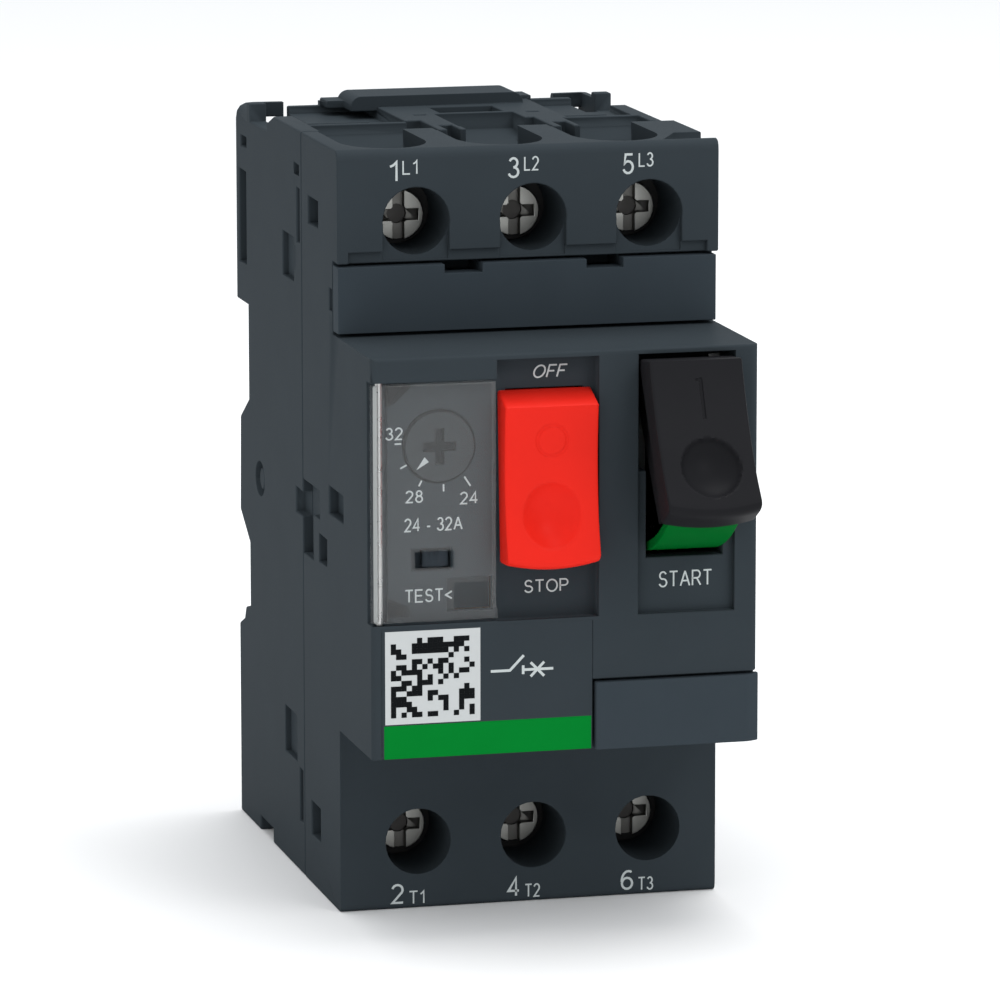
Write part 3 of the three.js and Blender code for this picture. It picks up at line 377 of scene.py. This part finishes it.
def bevel_widths(bm, width):
    """The bevel that each sharp outside edge can take, in metres, by edge index."""
    wanted = {}
    for edge in bm.edges:
        if len(edge.link_faces) == 2 and edge.calc_face_angle_signed(0) > math.radians(CREASE):
            wanted[edge.index] = width(edge) * MM
    for face in bm.faces:
        loops = list(face.loops)
        if not any(loop.edge.index in wanted for loop in loops):
            continue
        points = np.array([loop.vert.co for loop in loops])
        along = np.roll(points, -1, 0) - points
        along /= np.maximum(np.linalg.norm(along, axis=1), 1e-12)[:, None]
        turns = np.arccos(np.clip((along * np.roll(along, 1, 0)).sum(1), -1, 1))
        for i, loop in enumerate(loops):
            index = loop.edge.index
            if index in wanted:
                wanted[index] = min(wanted[index], SHARE * room_beside(points, turns, i))
    return wanted


def even_out(bm, widths):
    """Bevelled edges that run on in one line get one width, the smallest of theirs."""
    lead = {index: index for index in widths}

    def first(index):
        while lead[index] != index:
            index = lead[index]
        return index

    for vertex in bm.verts:
        edges = [edge for edge in vertex.link_edges if edge.index in widths]
        for k, a in enumerate(edges):
            for b in edges[k + 1:]:
                along = a.other_vert(vertex).co - vertex.co
                onward = vertex.co - b.other_vert(vertex).co
                if along.angle(onward, math.pi) < ONE_LINE:
                    lead[first(a.index)] = first(b.index)
    smallest = {}
    for index, width in widths.items():
        group = first(index)
        smallest[group] = min(width, smallest.get(group, math.inf))
    return {index: smallest[first(index)] for index in widths}


def ease_edges(mesh, width):
    """Merges the flats of a mesh and marks how wide a bevel each outside edge takes. Gives the widest."""
    bm = bmesh.new()
    bm.from_mesh(mesh)
    bmesh.ops.remove_doubles(bm, verts=bm.verts, dist=CAD_POINT * MM)
    bmesh.ops.dissolve_limit(bm, angle_limit=math.radians(FLAT), verts=bm.verts, edges=bm.edges)
    bm.edges.index_update()
    widths = even_out(bm, bevel_widths(bm, width))
    widest = max(widths.values(), default=0.0)
    layer = bm.edges.layers.float.new("bevel_weight_edge")
    for edge in bm.edges:
        room = widths.get(edge.index, 0.0)
        if room > LEAST_BEVEL * MM:
            edge[layer] = room / widest
    bm.to_mesh(mesh)
    bm.free()
    return widest


def apply_modifiers(piece):
    """Gives a piece the mesh that its modifiers make, and takes them off."""
    made = piece.evaluated_get(bpy.context.evaluated_depsgraph_get())
    piece.data = bpy.data.meshes.new_from_object(made)
    piece.modifiers.clear()


def dress(node, material, width):
    """A copy of a CAD node with its edges eased, which stands for it. width is mm, or a function of edges."""
    mesh = frame["nodes"][node].data.copy()
    ask = width if callable(width) else (lambda edge: width)
    widest = ease_edges(mesh, ask)
    piece = bpy.data.objects.new(node + "_shell", mesh)
    bpy.context.scene.collection.objects.link(piece)
    if widest > 0:
        bevel = piece.modifiers.new("bevel", "BEVEL")
        bevel.limit_method = "WEIGHT"
        bevel.width = widest
        bevel.segments = SEGMENTS
        bevel.use_clamp_overlap = False
        bevel.miter_outer = "MITER_SHARP"
    apply_modifiers(piece)
    piece.data.shade_smooth()
    piece.data.set_sharp_from_angle(angle=math.radians(SHARP))
    weighted = piece.modifiers.new("weighted", "WEIGHTED_NORMAL")
    weighted.keep_sharp = True
    weighted.weight = NORMAL_WEIGHT
    apply_modifiers(piece)
    piece.data.name = piece.name
    return place(piece, node, material, stands_in=True)


def shade_recess(piece, node, reach, *bands):
    """Paints shade into the recess in the front of a round piece, as darker materials by depth. A band is a
    depth to start at, and a material.
    """
    low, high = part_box(node)
    for material in (band[1] for band in bands):
        piece.data.materials.append(material)
    for face in piece.data.polygons:
        behind = face.center.y - low.y
        off_axis = math.hypot(face.center.x - (low.x + high.x) / 2, face.center.z - (low.z + high.z) / 2)
        if off_axis < reach * MM and behind < RECESS_END * MM:
            face.material_index = sum(behind > start * MM for start, _ in bands)


def thin_behind(piece, y, material):
    """Gives the faces that lie wholly behind a plane of the drawing their own material."""
    piece.data.materials.append(material)
    plane = at(0, y, 0).y
    for face in piece.data.polygons:
        if all(piece.data.vertices[v].co.y > plane for v in face.vertices):
            face.material_index = 1


def paint_node(node, material):
    """A CAD node that is shown as it is takes its material directly."""
    mesh = frame["nodes"][node].data
    mesh.materials.clear()
    mesh.materials.append(material)


def shorten_clip_spring():
    """The rail clip's spring, as a copy in spring steel that stands for its CAD node."""
    node = "clip_spring"
    mesh = frame["nodes"][node].data.copy()
    spring = bpy.data.objects.new("clip_spring_coil", mesh)
    bpy.context.scene.collection.objects.link(spring)
    place(spring, node, SPRING, stands_in=True)
    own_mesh(spring)


# ---------------------------------------------------------------- buttons
SHAFT = (-9.4, 64.3)  # Y and Z that both buttons turn about
BUTTONS = {
    "start": {"node": "start_button", "material": BLACK, "x": 13.95, "face": 9.8, "back": 5.9, "tilt": 29.4},
    "stop": {"node": "stop_button", "material": RED, "x": -2.03, "face": 8.6, "back": 5.0, "tilt": 3.3},
}
HALF, ARM_HALF = 5.37, 4.15  # half the width of a cap, and of the arm behind it
EDGE_R, ARM_BEVEL = 0.28, 0.2  # rounding of the cap's side edges, and of the arm's
SAG = 0.85  # how hollow the face is
CAP_TOP, FACE_TOP, FACE_LOW, CAP_LOW = 2.4, 4.0, 21.3, 22.4  # down from the shaft; the face is hollow
SLOPE = 3.5  # how far back the facet over the face starts
LIP, LIP_OUT = 1.5, 0.15  # how far back the lip runs under the face, and how far it swells out
BULGE, BULGE_FROM = 0.7, 16.5  # how much lower the cap reaches in the middle than at its sides
FINE, MEDIUM, COARSE = 0.085, 0.2, 0.25  # mesh steps in mm


def on_button(kind, u, n, s):
    """A point of a button, u across, n out and s down from the shaft, in the frame."""
    tilt = math.radians(kind["tilt"])
    y = SHAFT[0] - n * math.cos(tilt) - s * math.sin(tilt)
    z = SHAFT[1] + n * math.sin(tilt) - s * math.cos(tilt)
    return at(kind["x"] + u, y, z)


def smoothstep(t):
    t = min(1.0, max(0.0, t))
    return t * t * (3 - 2 * t)


def graded(stops):
    """Values from a list of (start, end, step), each stretch cut into equal steps."""
    values = []
    for start, end, step in stops:
        count = max(1, round(abs(end - start) / step))
        values += [start + (end - start) * k / count for k in range(count)]
    return values + [stops[-1][1]]


def dish_depth(u, s, dish):
    rho = math.hypot(u - dish["u"], (s - dish["s"]) / dish["long"]) / dish["r"]
    return dish["deep"] * (1 - rho * rho) ** dish["soft"] if rho < 1 else 0.0


def groove_depth(distance, half, deep, wall=0.09):
    return deep * (1 - smoothstep((distance - half) / wall))


STROKE = {"u": 0.32, "s": (6.2, 10.6), "half": 0.13, "deep": 0.16}
SERIF = {"u": (-0.15, 0.3), "s": 6.25, "half": 0.1, "deep": 0.14}
RING = {"u": 0.1, "s": 7.95, "r": 1.72, "half": 0.12, "deep": 0.13, "wall": 0.12}


def start_marks(u, s):
    """The upright stroke with its short serif."""
    stroke = math.hypot(u - STROKE["u"], max(0.0, STROKE["s"][0] - s, s - STROKE["s"][1]))
    serif = math.hypot(max(0.0, SERIF["u"][0] - u, u - SERIF["u"][1]), s - SERIF["s"])
    return max(
        groove_depth(stroke, STROKE["half"], STROKE["deep"]),
        groove_depth(serif, SERIF["half"], SERIF["deep"]),
    )


def stop_marks(u, s):
    """The ring."""
    off = abs(math.hypot(u - RING["u"], s - RING["s"]) - RING["r"])
    return groove_depth(off, RING["half"], RING["deep"], RING["wall"])


DISHES = {
    "start": {"u": 0.28, "s": 16.55, "r": 3.4, "long": 1.05, "deep": 1.7, "soft": 0.5},
    "stop": {"u": 0.0, "s": 16.3, "r": 3.4, "long": 1.1, "deep": 1.7, "soft": 0.9},
}
MARKS = {"start": start_marks, "stop": stop_marks}
MARK_U = {"start": (-0.5, 0.9), "stop": (-2.0, 2.2)}  # the stretches that get the fine mesh
MARK_S = {"start": (5.9, 10.9), "stop": (5.9, 10.0)}
DISH_S = (12.6, 20.3)
DISH_U = 3.6


def face_profile(key, kind):
    """The middle line of a cap from its back edge over the face to its back edge again, as (n, s) points."""
    face, back = kind["face"], kind["back"]
    low, high = MARK_S[key]
    line = [(back, CAP_TOP), (back + 0.05, CAP_TOP)]
    slope_start, slope_end = (face - SLOPE, CAP_TOP), (face, FACE_TOP)
    for t in graded([(0.0, 0.95, 0.28)]):
        line.append(tuple(a + (b - a) * t for a, b in zip(slope_start, slope_end)))
    stretches = [
        (FACE_TOP + 0.06, low, MEDIUM),
        (low, high, FINE),
        (high, DISH_S[0], 0.3),
        (*DISH_S, MEDIUM),
        (DISH_S[1], FACE_LOW, MEDIUM),
    ]
    for s in graded(stretches):
        t = (s - FACE_TOP) / (FACE_LOW - FACE_TOP)
        line.append((face - 4 * SAG * t * (1 - t), s))
    corner, turn, end = (face, FACE_LOW), (face + LIP_OUT, CAP_LOW), (face - LIP, CAP_LOW)
    for t in graded([(0.1, 1.0, 0.1)]):
        curve = zip(corner, turn, end)
        line.append(tuple((1 - t) ** 2 * a + 2 * t * (1 - t) * b + t * t * c for a, b, c in curve))
    return line + [((face - LIP + back) / 2, CAP_LOW), (back, CAP_LOW)]


def cap_section(key):
    """Across the cap: how far out to the side, and how far below the face line, each point lies."""
    inner = HALF - EDGE_R
    low, high = MARK_U[key]
    flat = graded([
        (-inner, -DISH_U, COARSE),
        (-DISH_U, low, MEDIUM),
        (low, high, FINE),
        (high, DISH_U, MEDIUM),
        (DISH_U, inner, COARSE),
    ])
    angles = [math.radians(18 * k) for k in range(1, 6)]
    corner = [(inner + EDGE_R * math.sin(a), EDGE_R * (1 - math.cos(a))) for a in angles]
    return [(-u, d) for u, d in reversed(corner)] + [(u, 0.0) for u in flat] + corner


def button_cap(key):
    """The cap of a button: a hollow face with a dish and an engraved mark, eased sides and a bulging lip."""
    kind = BUTTONS[key]
    line = face_profile(key, kind)
    section = cap_section(key)
    points, faces = [], []
    columns = len(section) + 2
    for k, (n, s) in enumerate(line):
        before, after = line[max(0, k - 1)], line[min(len(line) - 1, k + 1)]
        along = Vector((after[0] - before[0], after[1] - before[1])).normalized()
        inward = Vector((-along.y, along.x))
        outline = []
        for u, drop in section:
            depth = drop
            if FACE_TOP < s < CAP_LOW and abs(u) < HALF - EDGE_R:
                depth += dish_depth(u, s, DISHES[key]) + MARKS[key](u, s)
            lift = BULGE * (u / HALF) ** 2 * smoothstep((s - BULGE_FROM) / (FACE_LOW - BULGE_FROM))
            outline.append((u, max(kind["back"], n + inward.x * depth), s + inward.y * depth - lift))
        left, right = outline[0], outline[-1]
        ring = [(left[0], kind["back"], left[2])] + outline + [(right[0], kind["back"], right[2])]
        points += [on_button(kind, *p) for p in ring]
    for k in range(len(line) - 1):
        for i in range(columns - 1):
            a = k * columns + i
            faces.append((a, a + 1, a + columns + 1, a + columns))
    rows = len(line)
    left_side = [k * columns for k in range(rows)]
    right_side = [k * columns + columns - 1 for k in reversed(range(rows))]
    faces.append(left_side + right_side)
    piece = new_piece(key + "_button_cap", points, faces)
    piece.data.set_sharp_from_angle(angle=math.radians(SHARP))
    place(piece, kind["node"], kind["material"], stands_in=True)


def button_arm(key):
    """The arm behind the cap, with its eased edges."""
    kind = BUTTONS[key]
    back = kind["back"]
    outline = [(back + 0.4, 4.6), (3.5, 3.7), (2.5, 2.6), (1.35, 0.9), (1.25, -0.6)]
    outline += [(0.4, -1.3), (-0.7, -1.1), (-1.35, -0.2)]  # round the shaft
    outline += [(-1.5, 4), (0.5, 20), (back + 0.4, 19)]
    points = [on_button(kind, u, n, s) for u in (-ARM_HALF, ARM_HALF) for n, s in outline]
    count = len(outline)
    faces = [list(range(count)), list(range(2 * count - 1, count - 1, -1))]
    faces += [(k, (k + 1) % count, (k + 1) % count + count, k + count) for k in range(count)]
    piece = new_piece(key + "_button_arm", points, faces, smooth=False)
    bevel = piece.modifiers.new("bevel", "BEVEL")
    bevel.width = ARM_BEVEL * MM
    bevel.segments = SEGMENTS
    bevel.limit_method = "ANGLE"
    apply_modifiers(piece)
    place(piece, kind["node"], kind["material"])


# ---------------------------------------------------------------- printed marks
PRINT = 0.03  # thickness of a print, half of it sunk in the surface
SHARPEST = 0.45  # the corner, as a cosine, past which a stroke isn't made wider


def arc(x, z, half_wide, half_high, start, end, steps=10):
    """Points on an ellipse from one angle to another, in degrees."""
    angles = [math.radians(start + (end - start) * k / steps) for k in range(steps + 1)]
    return [(x + half_wide * math.cos(a), z + half_high * math.sin(a)) for a in angles]


# Plain letters and digits one unit high, each a list of strokes.
GLYPHS = {
    " ": [[(0.2, 0)]],
    "-": [[(0, 0.34), (0.3, 0.34)]],
    "<": [[(0.52, 0.78), (0, 0.47), (0.52, 0.16)]],
    "1": [[(0, 0.76), (0.14, 0.84), (0.26, 1), (0.26, 0)]],
    "2": [arc(0.27, 0.72, 0.26, 0.28, 165, -35) + [(0.02, 0), (0.55, 0)]],
    "3": [arc(0.26, 0.76, 0.22, 0.24, 160, -90), arc(0.26, 0.26, 0.27, 0.26, 90, -165)],
    "4": [[(0.42, 0), (0.42, 1), (0, 0.28), (0.58, 0.28)]],
    "5": [[(0.52, 1), (0.12, 1), (0.05, 0.5)] + arc(0.26, 0.32, 0.28, 0.32, 120, -160)],
    "6": [arc(0.29, 0.31, 0.26, 0.31, 0, 360, 16), arc(0.36, 0.45, 0.34, 0.55, 62, 185)],
    "8": [arc(0.27, 0.77, 0.21, 0.23, 0, 360, 14), arc(0.27, 0.27, 0.26, 0.27, 0, 360, 14)],
    "A": [[(0, 0), (0.36, 1)], [(0.36, 1), (0.72, 0)], [(0.13, 0.34), (0.59, 0.34)]],
    "E": [[(0.58, 1), (0, 1), (0, 0), (0.6, 0)], [(0, 0.52), (0.54, 0.52)]],
    "F": [[(0.54, 1), (0, 1), (0, 0)], [(0, 0.51), (0.46, 0.51)]],
    "L": [[(0, 1), (0, 0), (0.5, 0)]],
    "O": [arc(0.4, 0.5, 0.4, 0.5, 0, 360, 20)],
    "P": [[(0, 0), (0, 1), (0.34, 1)] + arc(0.34, 0.735, 0.24, 0.265, 90, -90, 8)[1:] + [(0, 0.47)]],
    "R": [
        [(0, 0), (0, 1), (0.36, 1)] + arc(0.36, 0.745, 0.24, 0.255, 90, -90, 8)[1:] + [(0, 0.49)],
        [(0.34, 0.49), (0.64, 0)],
    ],
    "S": [arc(0.3, 0.75, 0.25, 0.25, 20, 245) + arc(0.3, 0.26, 0.29, 0.26, 75, -165)],
    "T": [[(0, 1), (0.64, 1)], [(0.32, 1), (0.32, 0)]],
}
LETTER_GAP = 0.24


def ribbon(line, wide):
    """The two sides of a stroke along a line, as pairs of points. A closed line gives a closed ribbon."""
    line = [Vector(p) for p in line]
    closed = (line[0] - line[-1]).length < 1e-6
    sides = []
    for k, point in enumerate(line):
        before = line[k - 1] if k else (line[-2] if closed else point)
        after = line[k + 1] if k < len(line) - 1 else (line[1] if closed else point)
        along_in, along_out = (point - before), (after - point)
        along_in = along_in.normalized() if along_in.length > 1e-9 else along_out.normalized()
        along_out = along_out.normalized() if along_out.length > 1e-9 else along_in
        along = (along_in + along_out).normalized()
        reach = wide / 2 / max(SHARPEST, along.dot(along_in))
        across = Vector((-along.y, along.x)) * reach
        sides.append((point + across, point - across))
    return sides, closed


def print_strokes(name, lines, wide, y, node):
    """White lines of one width, as thin closed solids, on a plane that faces the front at Y."""
    points, faces = [], []
    for order, line in enumerate(lines):
        sides, closed = ribbon(line, wide)
        half = PRINT / 2 + order * PRINT / 100
        base = len(points)
        for a, b in sides:
            points += [at(p[0], y + d, p[1]) for p in (a, b) for d in (-half, half)]
        for k in range(len(sides) - 1):
            i, j = base + 4 * k, base + 4 * (k + 1)
            faces += [(i, i + 2, j + 2, j), (i + 1, j + 1, j + 3, i + 3)]
            faces += [(i, j, j + 1, i + 1), (i + 2, i + 3, j + 3, j + 2)]
        if not closed:
            last = base + 4 * (len(sides) - 1)
            faces += [(base, base + 1, base + 3, base + 2), (last, last + 2, last + 3, last + 1)]
    place(new_piece(name, points, faces, smooth=False), node, MARK)


def print_text(name, words, x, z, y, node, wide=0.18, slant=0.0):
    """Words fitted to a stretch of X and of Z on a plane that faces the front at Y."""
    lines, reach = [], 0.0
    for letter in words:
        strokes = GLYPHS[letter]
        lines += [[(u + reach + slant * v, v) for u, v in stroke] for stroke in strokes if len(stroke) > 1]
        reach += max(u for stroke in strokes for u, v in stroke) + LETTER_GAP
    left = min(u for line in lines for u, v in line)
    right = max(u for line in lines for u, v in line)
    grow = (x[1] - x[0] - wide) / (right - left)
    high = z[1] - z[0] - wide
    x0, z0 = x[0] + wide / 2, z[0] + wide / 2
    fitted = [[(x0 + (u - left) * grow, z0 + v * high) for u, v in line] for line in lines]
    print_strokes(name, fitted, wide, y, node)


def print_shapes(name, outlines, y, node, material, thick=PRINT):
    """Flat printed shapes, each an outline of (x, z) points, on a plane that faces the front at Y."""
    points, faces = [], []
    for outline in outlines:
        base, count = len(points), len(outline)
        points += [at(x, y - thick / 2, z) for x, z in outline]
        points += [at(x, y + thick / 2, z) for x, z in outline]
        faces += [list(range(base, base + count)), list(range(base + 2 * count - 1, base + count - 1, -1))]
        for k in range(count):
            after = (k + 1) % count
            faces.append((base + k, base + after, base + after + count, base + k + count))
    return place(new_piece(name, points, faces, smooth=False), node, material)


def rectangle(x, z):
    return [(x[0], z[0]), (x[1], z[0]), (x[1], z[1]), (x[0], z[1])]


RECESS_Y, START_FLOOR_Y, NOSE_Y = -14.5, -15.6, -16.5  # the floors of the two bays, and the nose's front


def front_y(node):
    """The drawing's Y of the front of a CAD node."""
    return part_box(node)[0].y / MM + SEAT_Y


def add_scale():
    """The setting scale, the dial's pointer and the words beside the buttons."""
    numbers = [
        ("32", (-20.22, -18.2), (57.06, 58.5)),
        ("28", (-17.93, -15.92), (49.9, 51.34)),
        ("24", (-11.7, -9.62), (49.5, 50.94)),
    ]
    for words, x, z in numbers:
        print_text("scale_" + words, words, x, z, RECESS_Y, "front_cover")
    print_text("scale_range", "24 - 32A", (-18.07, -11.4), (46.64, 48.2), RECESS_Y, "front_cover")
    print_text("test_word", "TEST<", (-18.08, -12.57), (38.62, 40.14), RECESS_Y, "front_cover")
    ticks = [
        ((-19.14, 56.63), (-18.4, 56.63)),
        ((-18.5, 53.86), (-17.8, 54.22)),
        ((-16.4, 51.78), (-16.07, 52.4)),
        ((-13.59, 51.88), (-13.57, 51.07)),
        ((-11.2, 52.63), (-10.5, 51.57)),
    ]
    print_strokes("scale_ticks", ticks, 0.19, RECESS_Y, "front_cover")
    pointer = [(-16.77, 53.68), (-15.35, 54.53), (-15.84, 55.09)]
    print_shapes("dial_pointer", [pointer], front_y("setting_dial"), "setting_dial", MARK)
    print_text("off_word", "OFF", (-3.3, 0.72), (63.38, 64.9), RECESS_Y, "front_cover", slant=0.25)
    print_text("stop_word", "STOP", (-4.33, 0.78), (39.1, 40.6), RECESS_Y, "front_cover", 0.17)
    print_text("start_word", "START", (10.96, 17.2), (39.2, 41.05), START_FLOOR_Y, "front_cover")


NUMBER_WIDE, LETTER_WIDE = 0.26, 0.17  # of the strokes


def add_terminal_marks():
    """The number of each terminal, with a smaller letter and number beside it."""
    y, node = 0, "front_cover"
    line = [("1", -16.25, 1.0), ("3", -2.5, 1.35), ("5", 10.9, 1.35)]
    for pole, (words, x, wide) in enumerate(line, 1):
        print_text(f"line_number_{words}", words, (x, x + wide), (83.9, 86.3), y, node, NUMBER_WIDE)
        small = (x + wide + 0.55, x + wide + 0.55 + 1.75)
        print_text(f"line_letter_{pole}", f"L{pole}", small, (84.7, 86.35), y, node, LETTER_WIDE)
    load = [("2", -16.3), ("4", -2.6), ("6", 10.9)]
    for pole, (words, x) in enumerate(load, 1):
        print_text(f"load_number_{words}", words, (x, x + 1.5), (0.65, 3.0), y, node, NUMBER_WIDE)
        small = (x + 2.05, x + 3.9)
        print_text(f"load_letter_{pole}", f"T{pole}", small, (0.5, 2.1), y, node, LETTER_WIDE)


FILM_MARGIN = 0.27  # the printed film reaches this much past its CAD plate, to the sides of its recess
CELL, CELL_FILL = 0.6, 0.99  # the size of a block in mm, and how much of its cell it fills
COLUMNS, ROWS = 16, 15
BLOCKS_AT = (-20.15, 26.05)
DARK_SHARE = 0.48


def is_dark(i, j):
    """A made-up pattern that encodes nothing."""
    return math.sin(12.9898 * i + 78.233 * j) * 43758.5453 % 1 < DARK_SHARE


def add_label():
    """The rating label: its film, a pale panel of plain blocks, the breaker symbol and a green strip."""
    y = NOSE_Y
    node = "rating_label"
    low, high = (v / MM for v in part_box(node))
    left, right = low.x - FILM_MARGIN, high.x + FILM_MARGIN
    bottom, top = low.z + RAIL_Z, high.z + RAIL_Z + FILM_MARGIN
    outline = rectangle((left, right), (bottom, top))
    film = print_shapes("rating_label_film", [outline], y + 0.15, node, LABEL, 0.3)
    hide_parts(node)
    print_shapes("label_panel", [rectangle((-20.8, -9.9), (25.3, 35.85))], y, node, PANEL)
    blocks = []
    for i in range(COLUMNS):
        for j in range(ROWS):
            if is_dark(i, j):
                x, z = BLOCKS_AT[0] + i * CELL, BLOCKS_AT[1] + j * CELL
                blocks.append(rectangle((x, x + CELL * CELL_FILL), (z, z + CELL * CELL_FILL)))
    print_shapes("label_blocks", blocks, y - 0.02, node, INK)
    print_shapes("label_strip", [rectangle((-20.93, 2.9), (21.4, 25.15))], y, node, LABEL_GREEN)
    lines = [
        [(-8.7, 30.8), (-6.5, 30.8), (-4.9, 32.45)],
        [(-4.97, 30.3), (-4.97, 31.3)],
        [(-4.97, 30.8), (-1.5, 30.8)],
        [(-4.1, 30.0), (-2.55, 31.6)],
        [(-4.1, 31.6), (-2.55, 30.0)],
    ]
    print_strokes("label_symbol", lines, 0.3, y, node)


# ---------------------------------------------------------------- clear cover
COVER = {"x": (-20.9, -8.1), "y": (-16.5, -15.2), "z": (36.8, 63.5)}
HINGE = {"x": -21.2, "y": -15.45, "r": 0.965}
BRIGHT = (217, 246)  # degrees round the hinge between which the barrel gets its painted highlight
BARREL_STEPS = 8
RIM = 0.12  # how wide the painted highlight along each rim is
RIM_LEFT, RIM_LOW = -20.7, 38.1  # where the top rim and the right rim start
PROUD = 0.01  # how far the painted highlight strips stand out of the clear moulding


def add_cover_edges():
    """Painted highlights where the clear moulding is seen edge on and gathers light: a bright strip on the
    barrel at the hinge, and bright rims.
    """
    z0, z1 = COVER["z"]
    ring = []
    for k in range(BARREL_STEPS + 1):
        angle = math.radians(BRIGHT[0] + (BRIGHT[1] - BRIGHT[0]) * k / BARREL_STEPS)
        ring.append((HINGE["x"] + HINGE["r"] * math.cos(angle), HINGE["y"] + HINGE["r"] * math.sin(angle)))
    ends = [(z0 - PROUD, 0.8), (z0 + 0.2, 1.0), (z1 - 0.2, 1.0), (z1 + PROUD, 0.8)]
    points = []
    for z, grow in ends:
        for x, y in ring:
            points.append(at(HINGE["x"] + (x - HINGE["x"]) * grow, HINGE["y"] + (y - HINGE["y"]) * grow, z))
    count = len(ring)
    faces = [list(range(count)), list(range(len(points) - 1, len(points) - count - 1, -1))]
    for row in range(len(ends) - 1):
        for k in range(count):
            a, b = row * count + k, row * count + (k + 1) % count
            faces.append((a, b, b + count, a + count))
    piece = new_piece("setting_cover_barrel_highlight", points, faces)
    piece.data.set_sharp_from_angle(angle=math.radians(SHARP))
    place(piece, "setting_cover", BARREL_HIGHLIGHT)
    x1 = COVER["x"][1]
    middle = (COVER["y"][0] + COVER["y"][1]) / 2
    deep = COVER["y"][1] - COVER["y"][0] + 2 * PROUD
    rims = [
        rectangle((x1 - RIM, x1 + PROUD), (RIM_LOW, z1)),
        rectangle((RIM_LEFT, x1), (z1 - RIM, z1 + PROUD)),
    ]
    print_shapes("setting_cover_rim_highlight", rims, middle, "setting_cover", RIM_HIGHLIGHT, deep)
    inside = COVER["y"][1] + 0.05
    corners = [
        [(-20.3, 63.3), (-17.2, 63.3), (-19.2, 61.4), (-20.3, 60.9)],
        [(-20.2, 37.2), (-17.6, 37.2), (-17.8, 38.3), (-20.2, 39.4)],
    ]
    print_shapes("setting_cover_gussets", corners, inside, "setting_cover", GUSSET, 0.1)
    socket = rectangle((-13.15, -7.95), (37.45, 41.0))
    print_shapes("latch_socket_floor", [socket], -12.6, "front_cover", HOUSING, 0.3)


# ---------------------------------------------------------------- the device
HALF_WIDTH = 22.25  # of the housing


def housing_edge(edge):
    """Outside corners of the blocks are rounder than the edges of their details."""
    middle = (edge.verts[0].co + edge.verts[1].co) / 2
    side = abs(abs(middle.x) / MM - HALF_WIDTH) < 0.05
    return 0.22 if side else 0.17


add_camera()
add_studio()
dress("front_cover", HOUSING, housing_edge)
dress("rear_base", HOUSING, housing_edge)
dress("accessory_strip", STRIP, 0.1)
dress("marker_plate", STRIP, 0.12)
for key in BUTTONS:
    button_cap(key)
    button_arm(key)
dress("start_indicator_skirt", GREEN, 0.12)
thin_behind(dress("setting_cover", CLEAR, 0.2), COVER["y"][1] + RECESS_LIP, LATCH)
add_cover_edges()
# painted shade in the recess of the dial's front
shade_recess(dress("setting_dial", DIAL, 0.12), "setting_dial", 2.1, (RECESS_LIP, DIAL_RECESS_SHADE))
dress("test_slider", SLIDER, 0.12)
for node in sorted(frame["nodes"]):
    if node.startswith("terminal_screw"):
        # painted shade in each screw head's cross recess, darker again in its hollow
        shade_recess(dress(node, SCREW, 0.1), node, 2.8, (RECESS_LIP, SCREW_RECESS_SHADE), (1.15, SCREW_HOLLOW_SHADE))
    elif node.startswith("clamp_plate"):
        # painted shade: near-black steel for the clamp plates in the wells' shade
        dress(node, CLAMP_SHADE, 0.15)
    elif node.startswith(("line_conductor", "load_conductor", "moving_contact", "trip_coil")):
        paint_node(node, COPPER)
    elif node.startswith("bimetal"):
        paint_node(node, BRASS)
    elif node.startswith(("arc_chute", "coil_striker", "button_shaft", "cover_hinge_pin", "lever_pin")):
        paint_node(node, STEEL)
    elif node == "lever_spring" or node.startswith("contact_spring"):
        paint_node(node, SPRING)
    elif node in ("start_link", "stop_link", "trip_bar", "drive_lever"):
        paint_node(node, GREY)
shorten_clip_spring()
dress("contact_carrier", INNER, 0.1)
dress("rail_clip", INNER, 0.3)
add_scale()
add_terminal_marks()
add_label()
